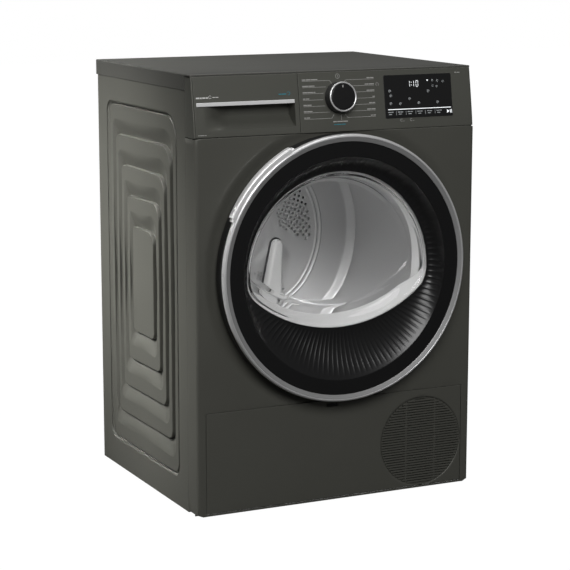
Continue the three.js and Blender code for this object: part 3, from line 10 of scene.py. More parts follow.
import bmesh
import bpy
import numpy as np
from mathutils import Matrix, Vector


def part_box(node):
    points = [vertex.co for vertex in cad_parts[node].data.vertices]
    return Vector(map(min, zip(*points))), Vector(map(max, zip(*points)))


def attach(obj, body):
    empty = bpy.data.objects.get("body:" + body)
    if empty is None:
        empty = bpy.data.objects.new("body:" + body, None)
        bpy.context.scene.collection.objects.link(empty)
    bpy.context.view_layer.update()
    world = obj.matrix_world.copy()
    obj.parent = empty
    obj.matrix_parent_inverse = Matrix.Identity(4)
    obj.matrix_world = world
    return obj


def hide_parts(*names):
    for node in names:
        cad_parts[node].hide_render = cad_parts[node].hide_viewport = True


logging.basicConfig(level=logging.INFO, format="%(name)s: %(message)s")
LOG = logging.getLogger("dryer")
Tree, Socket = bpy.types.NodeTree, bpy.types.NodeSocket
MM = 0.001
DOOR_AXIS = (0.0, 470.0)  # x and height of the door's and the drum's middle, in mm
CABINET_HALF = 299.0  # from the machine's middle to a side panel's face, in mm

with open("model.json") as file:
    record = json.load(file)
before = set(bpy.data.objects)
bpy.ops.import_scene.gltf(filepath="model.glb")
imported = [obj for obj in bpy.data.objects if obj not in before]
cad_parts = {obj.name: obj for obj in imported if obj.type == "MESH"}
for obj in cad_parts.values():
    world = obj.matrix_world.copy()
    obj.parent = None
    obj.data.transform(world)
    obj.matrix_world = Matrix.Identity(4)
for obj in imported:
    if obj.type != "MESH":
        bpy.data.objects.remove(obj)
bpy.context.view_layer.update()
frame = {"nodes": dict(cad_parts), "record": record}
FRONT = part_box("front_panel")[0].y / MM  # y of the front panel's face, in mm


class Body(str, Enum):
    """CAD bodies that a piece can ride on."""

    CABINET = "cabinet"
    DOOR = "door"
    DRAWER = "drawer"
    KNOB = "knob"
    FLAP = "flap"
    FLAP_BUTTON = "flap_button"
    DRUM = "drum"


class Axis(Enum):
    """Direction that a flat outline is built along."""

    X = "x"
    Y = "y"
    Z = "z"


# ---------------------------------------------------------------- meshes
@dataclass
class Surface:
    """A polygon surface: points in mm (x, distance back from the front face, z) and faces.

    Attributes:
        points: (n, 3) array of corner points.
        quads: (k, 4) array of point numbers.
        caps: Flat faces with any number of corners, one array of point numbers each.
    """

    points: np.ndarray
    quads: np.ndarray
    caps: list[np.ndarray] = field(default_factory=list)

    def flipped(self) -> "Surface":
        """Turns the faces round."""
        return Surface(self.points, self.quads[:, ::-1], [cap[::-1] for cap in self.caps])

    def volume(self) -> float:
        """Signed volume: the sum over triangles of the triple product of their corners, over six.

        Returns:
            Volume in cubic mm, above zero where the faces of a closed surface point outwards.
        """
        triangles = [self.quads[:, [0, 1, 2]], self.quads[:, [0, 2, 3]]] if len(self.quads) else []
        for cap in self.caps:
            middle = np.arange(1, len(cap) - 1)
            triangles.append(np.column_stack((np.full(len(middle), cap[0]), cap[middle], cap[middle + 1])))
        corners = self.points[np.vstack(triangles)]
        centred = corners - self.points.mean(0)
        return float(np.einsum("ij,ij->", centred[:, 0], np.cross(centred[:, 1], centred[:, 2])) / 6)

    def outward(self) -> "Surface":
        """Makes a closed surface's faces point outwards."""
        return self if self.volume() >= 0 else self.flipped()

    def turned(self, degrees: float) -> "Surface":
        """Turns the surface about the drum's axis.

        Args:
            degrees: Turn, from x towards z.

        Returns:
            The turned copy.
        """
        c, s = math.cos(math.radians(degrees)), math.sin(math.radians(degrees))
        x, depth, z = self.points.T
        u, v = x - DOOR_AXIS[0], z - DOOR_AXIS[1]
        points = np.column_stack((DOOR_AXIS[0] + u * c - v * s, depth, DOOR_AXIS[1] + u * s + v * c))
        return Surface(points, self.quads, self.caps)


def merged(surfaces: Sequence[Surface]) -> Surface:
    """Puts several surfaces in one.

    Args:
        surfaces: The surfaces, which keep their own points.

    Returns:
        One surface that holds them all.
    """
    starts = np.cumsum([0] + [len(s.points) for s in surfaces])
    points = np.vstack([s.points for s in surfaces])
    quads = [s.quads + start for s, start in zip(surfaces, starts) if len(s.quads)]
    caps = [cap + start for s, start in zip(surfaces, starts) for cap in s.caps]
    return Surface(points, np.vstack(quads) if quads else np.zeros((0, 4), int), caps)


def quad_grid(rows: int, columns: int, wrap_rows: bool = False, wrap_columns: bool = True) -> np.ndarray:
    """Faces of a grid of points numbered row by row.

    Args:
        rows: Number of rows.
        columns: Points in a row.
        wrap_rows: Whether the last row joins the first.
        wrap_columns: Whether a row's last point joins its first.

    Returns:
        (k, 4) array of point numbers.
    """
    r = np.arange(rows if wrap_rows else rows - 1)
    c = np.arange(columns if wrap_columns else columns - 1)
    row, column = np.meshgrid(r, c, indexing="ij")
    below, beside = (row + 1) % rows, (column + 1) % columns
    turns = ((row, column), (row, beside), (below, beside), (below, column))
    return np.stack([(r * columns + c).ravel() for r, c in turns], 1)


def loft(rings: Sequence[np.ndarray], closed: bool = False, capped: bool = True) -> Surface:
    """Joins rings of as many points each into a skin.

    Args:
        rings: (n, 3) arrays, one for each ring.
        closed: Whether the last ring joins the first, as round a tube bent into a loop.
        capped: Whether the first and the last ring get a flat face.

    Returns:
        The skin.
    """
    count = len(rings[0])
    quads = quad_grid(len(rings), count, wrap_rows=closed)
    last = (len(rings) - 1) * count
    caps = [np.arange(count)[::-1], np.arange(count) + last] if capped and not closed else []
    return Surface(np.vstack(rings), quads, caps)


def placed(outline: np.ndarray, depth: float | np.ndarray, axis: Axis = Axis.Y) -> np.ndarray:
    """Puts a flat outline in space.

    Args:
        outline: (n, 2) points in the two axes across the axis, in x, y, z order.
        depth: Place along the axis, one for all points or one for each.
        axis: Axis that the outline is built along.

    Returns:
        (n, 3) array.
    """
    along = np.broadcast_to(depth, len(outline))
    u, v = outline[:, 0], outline[:, 1]
    stacked = {Axis.X: (along, u, v), Axis.Y: (u, along, v), Axis.Z: (u, v, along)}[axis]
    return np.column_stack(stacked)


def spokes(count: int) -> np.ndarray:
    """Angles of evenly spread spokes."""
    return 2 * math.pi * np.arange(count) / count


def polar(radius: float | np.ndarray, angle: np.ndarray, centre: Sequence[float] = (0.0, 0.0)) -> np.ndarray:
    """Points round a centre."""
    return np.column_stack((centre[0] + radius * np.cos(angle), centre[1] + radius * np.sin(angle)))


def smooth(share: float | np.ndarray) -> np.ndarray:
    """Smooth step 3 t^2 - 2 t^3 of a share t held between 0 and 1."""
    t = np.clip(share, 0, 1)
    return t**2 * (3 - 2 * t)


def inset(outline: np.ndarray, distance: float) -> np.ndarray:
    """Moves each point of a closed outline inwards along the mean normal of its two sides.

    Args:
        outline: (n, 2) points that run anticlockwise.
        distance: How far inwards.

    Returns:
        The smaller outline, with as many points.
    """
    before, after = outline - np.roll(outline, 1, 0), np.roll(outline, -1, 0) - outline
    before /= np.maximum(np.linalg.norm(before, axis=1, keepdims=True), 1e-9)
    after /= np.maximum(np.linalg.norm(after, axis=1, keepdims=True), 1e-9)
    mean = before + after
    mean /= np.maximum(np.linalg.norm(mean, axis=1, keepdims=True), 1e-9)
    lengthening = 1 / np.clip(np.einsum("ij,ij->i", mean, after), 0.4, 1)
    normal = np.column_stack((-mean[:, 1], mean[:, 0]))
    return outline + normal * (distance * lengthening)[:, None]


def rounded_rectangle(
    low: tuple[float, float], high: tuple[float, float], radii: float | Sequence[float],
    arc: int = 6, side: int = 1,
) -> np.ndarray:
    """Outline of a rectangle whose corners are quarter circles.

    Args:
        low: Lowest corner.
        high: Highest corner.
        radii: Corner radius, one for all or one each from (low, low) anticlockwise.
        arc: Steps round each corner.
        side: Steps along each side.

    Returns:
        (n, 2) points, anticlockwise from the lower left corner.
    """
    r = np.broadcast_to(np.asarray(radii, float), 4)
    centres = [
        (low[0] + r[0], low[1] + r[0]), (high[0] - r[1], low[1] + r[1]),
        (high[0] - r[2], high[1] - r[2]), (low[0] + r[3], high[1] - r[3]),
    ]
    arcs = []
    for corner, (centre, start) in enumerate(zip(centres, (180, 270, 0, 90))):
        arcs.append(polar(r[corner], np.radians(start + np.linspace(0, 90, arc + 1)), centre))
    points = []
    for corner in range(4):
        points.append(arcs[corner])
        start, end = arcs[corner][-1], arcs[(corner + 1) % 4][0]
        share = np.arange(1, side)[:, None] / side
        points.append(start + (end - start) * share)
    return np.vstack(points)


def slab(
    outline: np.ndarray, near: float, far: float, edge: float, axis: Axis = Axis.Y, rounds: int = 3,
) -> Surface:
    """A plate whose near edge is rounded over a quarter circle.

    Args:
        outline: (n, 2) anticlockwise outline.
        near: Place of the face with the rounded edge.
        far: Place of the plain face.
        edge: Radius of the rounded edge.
        axis: Axis that the plate is built along.
        rounds: Steps in the rounded edge.

    Returns:
        A closed surface.
    """
    sign = 1 if far > near else -1
    rings = []
    for angle in np.linspace(math.pi / 2, 0, rounds + 1):
        shrunk = inset(outline, edge * (1 - math.cos(angle)))
        rings.append(placed(shrunk, near + sign * edge * (1 - math.sin(angle)), axis))
    return loft([*rings, placed(outline, far, axis)]).outward()


def revolved(
    profile: Sequence[Sequence[float]], centre: tuple[float, float] = DOOR_AXIS, steps: int = 128,
    axis: Axis = Axis.Y, start: float = 0.0, end: float = 360.0,
) -> Surface:
    """Turns a closed profile round an axis.

    Args:
        profile: (radius, place along the axis) corners of the closed profile, none on the axis.
        centre: Where the axis stands, in the other two axes.
        steps: Steps round.
        axis: The axis.
        start: First angle in degrees.
        end: Last angle in degrees, 360 more than the first for a full turn.

    Returns:
        A closed surface.
    """
    corners = np.asarray(profile, float)
    full = abs(end - start - 360) < 1e-6
    angle = np.radians(start + (end - start) * np.arange(steps if full else steps + 1) / steps)
    rings = [placed(polar(corners[:, 0], a, centre), corners[:, 1], axis) for a in angle]
    return loft(rings, closed=full, capped=not full).outward()


def rounded_profile(corners: Sequence[Sequence[float]], radius: float, steps: int = 3) -> np.ndarray:
    """Rounds each corner of a closed profile with a quadratic curve between its two sides.

    Args:
        corners: (n, 2) corners.
        radius: Length that the rounding takes of each side, at most 45 % of it.
        steps: Steps in each rounding.

    Returns:
        The rounded closed profile.
    """
    c = np.asarray(corners, float)
    to_last, to_next = np.roll(c, 1, 0) - c, np.roll(c, -1, 0) - c
    size_last = np.linalg.norm(to_last, axis=1, keepdims=True)
    size_next = np.linalg.norm(to_next, axis=1, keepdims=True)
    first = c + to_last * np.minimum(radius / size_last, 0.45)
    last = c + to_next * np.minimum(radius / size_next, 0.45)
    t = np.linspace(0, 1, steps + 1)[None, :, None]
    curve = first[:, None] * (1 - t) ** 2 + 2 * c[:, None] * t * (1 - t) + last[:, None] * t**2
    return curve.reshape(-1, 2)


def make_piece(
    name: str, surface: Surface, finish: "Finish", body: Body, replaces: Sequence[str] = (),
    sharp: float = 34.0,
) -> bpy.types.Object:
    """Makes a finished piece of the model.

    Args:
        name: The piece's name.
        surface: Its surface, in mm.
        finish: What it is made of.
        body: CAD body that it rides on.
        replaces: CAD nodes that it stands for.
        sharp: Angle in degrees above which an edge stays sharp.

    Returns:
        The new object.
    """
    mesh = bpy.data.meshes.new(name)
    points = (surface.points + np.array([0.0, FRONT, 0.0])) * MM
    faces = surface.quads.tolist() + [cap.tolist() for cap in surface.caps]
    mesh.from_pydata(points.tolist(), [], faces)
    mesh.shade_smooth()
    mesh.set_sharp_from_angle(angle=math.radians(sharp))
    piece = bpy.data.objects.new(name, mesh)
    bpy.context.scene.collection.objects.link(piece)
    piece.data.materials.append(finish.material())
    normals = piece.modifiers.new("normals", "WEIGHTED_NORMAL")
    normals.keep_sharp = True
    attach(piece, body.value)
    if replaces:
        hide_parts(*replaces)
    LOG.info("%s: %d faces on %s", name, len(faces), body.value)
    return piece


# ---------------------------------------------------------------- finishes
def feed(tree: Tree, node: bpy.types.Node, inputs: dict) -> bpy.types.Node:
    """Sets or links inputs of a shader node.

    Args:
        tree: Node tree.
        node: The node.
        inputs: For each input's name or number, a value or the output socket that it is linked to.

    Returns:
        The node.
    """
    for key, given in inputs.items():
        if isinstance(given, Socket):
            tree.links.new(given, node.inputs[key])
        else:
            node.inputs[key].default_value = given
    return node


def add_node(tree: Tree, kind: str, inputs: Optional[dict] = None) -> bpy.types.Node:
    """Adds a shader node."""
    return feed(tree, tree.nodes.new(f"ShaderNode{kind}"), inputs or {})


@dataclass(frozen=True)
class Finish:
    """A surface finish made of shader nodes on object coordinates.

    Attributes:
        name: Material name.
        colour: Linear RGB colour.
        roughness: Mean roughness.
        metallic: Share of metal.
        coat: Clear coat's weight.
        mottle: Share by which the colour and roughness vary.
        mottle_scale: Size of the variation, in waves per metre.
        grain: Height of the fine grain's bump in metres.
        grain_scale: Grain's fineness, in waves per metre.
        stretch: Factor on each axis of the grain, to draw it out into lines.
    """

    name: str
    colour: tuple[float, float, float]
    roughness: float = 0.5
    metallic: float = 0.0
    coat: float = 0.0
    mottle: float = 0.08
    mottle_scale: float = 9.0
    grain: float = 0.00002
    grain_scale: float = 1400.0
    stretch: tuple[float, float, float] = (1.0, 1.0, 1.0)

    @property
    def label(self) -> str:
        """Material's name, which differs from the names of the frame's own ones."""
        return f"look_{self.name}"

    def material(self) -> bpy.types.Material:
        """Makes the material, or finds the one made before.

        Returns:
            The material.
        """
        found = bpy.data.materials.get(self.label)
        if found:
            return found
        made = bpy.data.materials.new(self.label)
        made.use_nodes = True
        tree = made.node_tree
        place = add_node(tree, "TexCoord").outputs["Object"]
        inputs = {"Metallic": self.metallic, "Coat Weight": self.coat, "Coat Roughness": 0.08}
        inputs |= self.mottled(tree, place)
        if self.grain:
            inputs["Normal"] = self.grained(tree, place)
        self.finish(tree, feed(tree, tree.nodes["Principled BSDF"], inputs))
        return made

    def noise(self, tree: Tree, place: Socket, scale: float, detail: float) -> Socket:
        """Adds a noise texture.

        Args:
            tree: Node tree.
            place: Coordinates it reads.
            scale: Waves per metre.
            detail: Octaves.

        Returns:
            The noise's value.
        """
        mapping = add_node(tree, "Mapping", {"Scale": self.stretch, "Vector": place})
        reads = {"Scale": scale, "Detail": detail, "Vector": mapping.outputs["Vector"]}
        return add_node(tree, "TexNoise", reads).outputs["Fac"]

    def mottled(self, tree: Tree, place: Socket) -> dict:
        """Varies the colour and the roughness a little over the piece.

        Args:
            tree: Node tree.
            place: Object coordinates.

        Returns:
            The shader's inputs for colour and roughness.
        """
        noise = self.noise(tree, place, self.mottle_scale, 3.0)
        less, more = 1 - self.mottle, 1 + self.mottle
        ramp = tree.nodes.new("ShaderNodeMix")
        ramp.data_type = "RGBA"
        low = tuple(c * less for c in self.colour)
        high = tuple(min(1.0, c * more) for c in self.colour)
        feed(tree, ramp, {0: noise, 6: (*low, 1.0), 7: (*high, 1.0)})
        span = {"To Min": self.roughness * less, "To Max": min(1.0, self.roughness * more), "Value": noise}
        rough = add_node(tree, "MapRange", span)
        return {"Base Color": ramp.outputs[2], "Roughness": rough.outputs["Result"]}

    def grained(self, tree: Tree, place: Socket) -> Socket:
        """Adds the fine grain's bump.

        Args:
            tree: Node tree.
            place: Object coordinates.

        Returns:
            The bumped normal.
        """
        height = self.noise(tree, place, self.grain_scale, 2.0)
        bump = add_node(tree, "Bump", {"Strength": 0.5, "Distance": self.grain, "Height": height})
        return bump.outputs["Normal"]

    def finish(self, tree: Tree, shader: bpy.types.Node) -> None:
        """Completes the material: a plain finish needs nothing more."""


@dataclass(frozen=True)
class Glass(Finish):
    """Clear glass, which lets lamplight through to what is behind it."""

    def finish(self, tree: Tree, shader: bpy.types.Node) -> None:
        """Makes the shader clear, and plainly transparent to shadow rays.

        Args:
            tree: Node tree.
            shader: Principled shader.
        """
        feed(tree, shader, {"Transmission Weight": 1.0, "IOR": 1.45})
        shadow = add_node(tree, "LightPath").outputs["Is Shadow Ray"]
        through = add_node(tree, "BsdfTransparent").outputs["BSDF"]
        mix = add_node(tree, "MixShader", {0: shadow, 1: shader.outputs["BSDF"], 2: through})
        feed(tree, tree.nodes["Material Output"], {"Surface": mix.outputs["Shader"]})


@dataclass(frozen=True)
class Lit(Finish):
    """A mark that glows a little, as a display's digits do.

    Attributes:
        glow: Strength of the light it gives.
    """

    glow: float = 1.0

    def finish(self, tree: Tree, shader: bpy.types.Node) -> None:
        """Makes the shader glow in its own colour."""
        feed(tree, shader, {"Emission Color": (*self.colour, 1.0), "Emission Strength": self.glow})


BODY_STEEL = Finish(
    "body_paint", (0.1, 0.1, 0.086), 0.45, metallic=0.2, coat=0.05, mottle=0.05, grain=0.00001,
)
# The top's paint is a darker copy of the body paint: painted shade that evens out the stronger light falling
# on the top.
SHADED_TOP_PAINT = Finish(
    "top_paint_shaded", (0.082, 0.082, 0.073), 0.45, metallic=0.2, coat=0.05, mottle=0.05, grain=0.00001,
)
FASCIA_PLASTIC = Finish(
    "fascia_plastic", (0.108, 0.109, 0.094), 0.42, metallic=0.3, mottle=0.04, grain=0.00001,
)
BLACK_GLOSS = Finish("black_gloss", (0.0092, 0.0092, 0.0095), 0.3, mottle=0.05, grain=0.0)
BLACK_SATIN = Finish("black_satin", (0.011, 0.011, 0.0115), 0.4, mottle=0.1)
CHROME = Finish("chrome", (0.8, 0.8, 0.8), 0.3, metallic=0.5, mottle=0.04, grain=0.0)
CHROME_SATIN = Finish("chrome_satin", (0.5, 0.5, 0.5), 0.36, metallic=0.6, mottle=0.04, grain=0.0)
CHROME_BRIGHT = Finish("chrome_bright", (0.93, 0.93, 0.93), 0.26, metallic=0.3, mottle=0.03, grain=0.0)
LIGHT_PLASTIC = Finish("light_plastic", (0.62, 0.62, 0.615), 0.42, mottle=0.03)
# The collar's plastic is a darker copy of the light plastic: painted shade that tones down the light falling
# on the collar.
SHADED_COLLAR_PLASTIC = Finish("shaded_collar_plastic", (0.44, 0.44, 0.438), 0.4, mottle=0.03)
DARK_SATIN = Finish("dark_satin", (0.02, 0.02, 0.02), 0.34, mottle=0.06, grain=0.0)
PRINT_WHITE = Finish("print_white", (0.7, 0.7, 0.68), 0.6, mottle=0.1, mottle_scale=400.0, grain=0.0)
PRINT_GREY = Finish("print_grey", (0.42, 0.42, 0.4), 0.6, mottle=0.12, mottle_scale=400.0, grain=0.0)
PRINT_TEAL = Finish("print_teal", (0.03, 0.25, 0.32), 0.6, mottle=0.15, mottle_scale=400.0, grain=0.0)
DRUM_STEEL = Finish("drum_steel", (0.5, 0.5, 0.5), 0.42, metallic=0.6, mottle=0.05, stretch=(1.0, 30.0, 1.0))
ZINC = Finish("zinc_steel", (0.5, 0.51, 0.52), 0.42, metallic=0.9, mottle=0.15, mottle_scale=45.0)
GREY_PLASTIC = Finish("grey_plastic", (0.47, 0.48, 0.475), 0.45, mottle=0.04)
DARK_PLASTIC = Finish("dark_plastic", (0.028, 0.028, 0.03), 0.55, mottle=0.08)
RUBBER = Finish("rubber", (0.045, 0.045, 0.048), 0.62, mottle=0.1)
FELT = Finish(
    "felt", (0.42, 0.4, 0.36), 0.95, mottle=0.2, mottle_scale=300.0, grain=0.0006, grain_scale=1800.0,
)
ALUMINIUM = Finish("aluminium", (0.72, 0.73, 0.74), 0.35, metallic=1.0, mottle=0.08)
CIRCUIT = Finish("circuit_board", (0.02, 0.12, 0.05), 0.45, mottle=0.3, mottle_scale=160.0)
LIT_WHITE = Lit("lit_white", (0.85, 0.88, 0.9), 0.5, mottle=0.05, mottle_scale=300.0, grain=0.0, glow=0.75)
LIT_GREY = Lit("lit_grey", (0.42, 0.44, 0.45), 0.5, mottle=0.2, mottle_scale=300.0, grain=0.0, glow=0.18)
GLASS = Glass("clear_glass", (1.0, 1.0, 1.0), 0.02, mottle=0.0, grain=0.0)

FINISHES = {
    "body_steel": BODY_STEEL, "body_plastic": FASCIA_PLASTIC, "black_gloss": BLACK_GLOSS,
    "black_satin": BLACK_SATIN, "chrome": CHROME, "drum_steel": DRUM_STEEL, "zinc_steel": ZINC,
    "grey_plastic": GREY_PLASTIC, "dark_plastic": DARK_PLASTIC, "rubber": RUBBER, "felt": FELT,
    "aluminium": ALUMINIUM, "circuit_board": CIRCUIT, "clear_glass": GLASS,
}


def finish_carried_nodes() -> None:
    """Gives each CAD node the procedural finish of its material slot in place of its plain one."""
    slots = {part["node"]: part["material_slot"] for part in frame["record"]["subparts"]}
    for name, node in frame["nodes"].items():
        finish = FINISHES[slots.get(name, "body_steel")]
        node.data.materials.clear()
        node.data.materials.append(finish.material())
        LOG.info("carried %s in %s", name, finish.name)


# ---------------------------------------------------------------- sheet helpers
def facing(surface: Surface, direction: Sequence[float]) -> Surface:
    """Turns an open surface's faces towards a direction.

    Args:
        surface: The surface.
        direction: Direction that most of its faces should look in.

    Returns:
        The surface, flipped if the sum of its faces' area vectors looked the other way.
    """
    p = surface.points[surface.quads]
    area = np.cross(p[:, 2] - p[:, 0], p[:, 3] - p[:, 1]).sum(0)
    return surface if float(area @ np.asarray(direction, float)) >= 0 else surface.flipped()


def thicken(piece: bpy.types.Object, thickness: float) -> None:
    """Gives a sheet its thickness on the side away from its faces, and closes its rims.

    Args:
        piece: The sheet's object.
        thickness: Thickness in mm.
    """
    solid = piece.modifiers.new("thickness", "SOLIDIFY")
    solid.thickness = thickness * MM
    solid.offset = -1.0
    solid.use_even_offset = False
    piece.modifiers.move(len(piece.modifiers) - 1, 0)


def edge_lines(
    low: float, high: float, inner: Sequence[float], low_edge: "Edge", high_edge: Optional["Edge"] = None,
) -> np.ndarray:
    """Grid lines across a panel from one rounded edge to the other.

    Args:
        low: Place of the low edge.
        high: Place of the high edge.
        inner: Lines wanted between the edges.
        low_edge: How the low edge is rounded and returned.
        high_edge: How the high edge is, where it isn't like the low one.

    Returns:
        (n, 2) array: place, and depth behind the face there.
    """
    start = low_edge.lines(low, 1.0)
    end = (high_edge or low_edge).lines(high, -1.0)[::-1]
    room = 0.3
    middle = [(p, 0.0) for p in inner if start[-1][0] + room < p < end[0][0] - room]
    return np.array([*start, *middle, *end])


@dataclass(frozen=True)
class Edge:
    """A panel's edge: a rounding and a wall that goes back from it.

    Attributes:
        radius: Radius of the rounding, in mm.
        wall: Depth of the wall behind the face.
        steps: Steps in the rounding.
    """

    radius: float
    wall: float
    steps: int = 4

    def lines(self, place: float, inwards: float) -> list[tuple[float, float]]:
        """Grid lines of this edge, from the wall's far rim to the face.

        The rounding is a quarter circle: at angle a the line lies radius times (1 - cos a)
        inwards and radius times (1 - sin a) behind the face.

        Args:
            place: Where the edge is.
            inwards: 1 where the panel goes up from it, -1 where it goes down.

        Returns:
            Pairs of place and depth behind the face.
        """
        lines = [(place, self.wall)]
        for angle in np.linspace(0, math.pi / 2, self.steps + 1):
            away = self.radius * (1 - math.cos(angle))
            lines.append((place + inwards * away, self.radius * (1 - math.sin(angle))))
        return lines


def panel_grid(
    columns: np.ndarray, rows: np.ndarray, face: Callable[[np.ndarray], np.ndarray],
    hole: Optional[Callable[[np.ndarray, np.ndarray], np.ndarray]] = None,
) -> Surface:
    """A panel that faces forwards, as a grid of (x, z) lines.

    A point's depth is the face's depth at its height plus the greater of its two lines' depths.

    Args:
        columns: (n, 2) x and depth of each upright line.
        rows: (m, 2) z and depth of each level line.
        face: Depth of the face at a height.
        hole: Tells from a cell's middle (x, z) whether it is left out.

    Returns:
        The open surface, looking forwards.
    """
    x, z = np.meshgrid(columns[:, 0], rows[:, 0])
    depth = face(z) + np.maximum(columns[:, 1][None, :], rows[:, 1][:, None])
    quads = quad_grid(len(rows), len(columns), wrap_columns=False)
    points = np.column_stack((x.ravel(), depth.ravel(), z.ravel()))
    if hole is not None:
        middle = points[quads].mean(1)
        quads = quads[~hole(middle[:, 0], middle[:, 2])]
    return facing(Surface(points, quads), (0, -1, 0))


# ---------------------------------------------------------------- cabinet
SHEET = 1.2  # thickness of the steel sheets, in mm


@dataclass
class SidePanel:
    """A side panel with nested steps pressed into it."""

    side: int  # -1 for the left, 1 for the right
    outer: float = CABINET_HALF
    front: float = 44.3
    rear: float = 502.0
    bottom: float = 5.0
    top: float = 815.7
    steps: int = 5  # how many nested steps
    drop: float = 1.4  # depth of each step
    groove: float = 7.2  # how much deeper the crease at a step's foot lies
    shallow: float = 5.2  # depth of the outermost crease
    plateau: float = 0.46  # flat share of the way from one step's lip to the next crease
    pressing_low: tuple[float, float] = (86.5, 60.0)  # depth and height of the outermost step's lowest corner
    pressing_high: tuple[float, float] = (444.0, 770.0)  # the same of its highest corner
    pitch_front: float = 33.5  # step's way back from the one around it, at the front
    pitch_rear: float = 25.0  # the same at the rear, forwards
    rise: float = 60.0  # the same below and above

    CORNERS = ((30.0, 2.0), (26.0, 2.0), (24.0, 2.0), (55.0, 5.0))  # radius and its loss per step
    LIP = ((7.3, 0.06), (8.2, 0.88), (8.9, 1.0), (10.0, 1.0))  # way inwards and share of the rise
    RIM = ((0.0, 9.0), (0.0, 0.8), (0.35, 0.2), (0.9, 0.0))  # way inwards and depth

    def outline(self, level: int, inwards: float) -> np.ndarray:
        """Outline of a step, shrunk by a distance.

        Args:
            level: Step's number, 0 for the outermost.
            inwards: How far inside the step's outer edge.

        Returns:
            (n, 2) points in depth and height.
        """
        (front, bottom), (rear, top) = self.pressing_low, self.pressing_high
        low = (front + level * self.pitch_front + inwards, bottom + level * self.rise + inwards)
        high = (rear - level * self.pitch_rear - inwards, top - level * self.rise - inwards)
        radii = np.array([radius - loss * level for radius, loss in self.CORNERS])
        return self.rounded(low, high, np.maximum(radii - inwards, 4.0))

    def border(self, inwards: float) -> np.ndarray:
        """The panel's own outline, shrunk by a distance."""
        low = (self.front + inwards, self.bottom + inwards)
        return self.rounded(low, (self.rear - inwards, self.top - inwards), 0.6)

    def rounded(
        self, low: tuple[float, float], high: tuple[float, float], radii: float | Sequence[float],
    ) -> np.ndarray:
        """Rounded rectangle with the number of points that all the panel's outlines have."""
        return rounded_rectangle(low, high, radii, arc=12, side=24)

    def fall(self, level: int) -> list[tuple[np.ndarray, float]]:
        """Outlines from one step's flat part down to the next crease.

        The depth grows with the square of a share that runs from 0 to 1. Above and below, the
        way inwards grows evenly with that share, so the step rolls over softly. Towards the
        front and the rear it grows with the share's fifth power: a steep wall, then a flat foot.

        Args:
            level: Number of the step that the crease surrounds.

        Returns:
            Outlines with their depths.
        """
        before = self.outline(level - 1, 10.0) if level else self.outline(0, -9.0)
        stride = self.outline(level, 7.0) - before
        along = stride[:, :1] / np.linalg.norm(stride, axis=1, keepdims=True)
        front, rear = np.clip(along, 0, 1) ** 2, np.clip(-along, 0, 1) ** 2
        flat = self.plateau - 0.16 * front if level else 0.55 * (1 - rear)
        start, total = (level * self.drop, self.drop + self.groove) if level else (0.0, self.shallow)
        outlines = []
        for share in np.linspace(0, 1, 10):
            way = flat + (1 - flat) * share ** (1 + 4 * (front + rear))
            outlines.append((before + stride * way, start + total * share**2))
        return outlines

    def build(self) -> None:
        """Builds the panel: rims, border, and for each step a fall to a crease and a short lip up."""
        rings = [(self.border(inwards), depth) for inwards, depth in self.RIM]
        for level in range(self.steps):
            rings += self.fall(level)
            rise = self.groove if level else self.shallow - self.drop
            for inwards, share in self.LIP:
                rings.append((self.outline(level, inwards), (level + 1) * self.drop + rise * (1 - share)))
        rings.append((self.outline(self.steps - 1, 16.0), self.steps * self.drop))
        lofted = loft([placed(o, self.side * (self.outer - d), Axis.X) for o, d in rings], capped=False)
        count = len(rings[0][0])
        floor = len(lofted.points) - count + np.arange(count)
        if self.side < 0:
            floor = floor[::-1]
        surface = Surface(lofted.points, facing(lofted, (self.side, 0, 0)).quads, [floor])
        name = "left_side" if self.side < 0 else "right_side"
        piece = make_piece(
            f"{name}_panel_pressed", surface, BODY_STEEL, Body.CABINET, [f"{name}_panel"],
            sharp=50,
        )
        thicken(piece, SHEET)


@dataclass
class TopPanel:
    """The machine's flat top: a shallow lid whose front plate runs on to the fascia."""

    half: float = 300.0
    front: float = 46.6
    lip: float = 20.8  # front plate's front edge
    rear: float = 510.0
    bottom: float = 816.0
    top: float = 846.0
    plate: float = 3.0  # front plate's thickness

    def build(self) -> None:
        """Builds the lid and its front plate, both with a rounded upper edge."""
        lid = self.block((self.front, self.rear), self.bottom, 2.2)
        nose = self.block((self.lip, self.front + 6), self.top - self.plate, 1.4)
        make_piece("top_lid", merged([lid, nose]), SHADED_TOP_PAINT, Body.CABINET, ["top_panel"])

    def block(self, depths: tuple[float, float], bottom: float, radius: float) -> Surface:
        """A closed plate as wide as the machine."""
        outline = rounded_rectangle((-self.half, depths[0]), (self.half, depths[1]), 3.0, arc=5, side=6)
        return slab(outline, self.top, bottom, radius, Axis.Z, rounds=5)


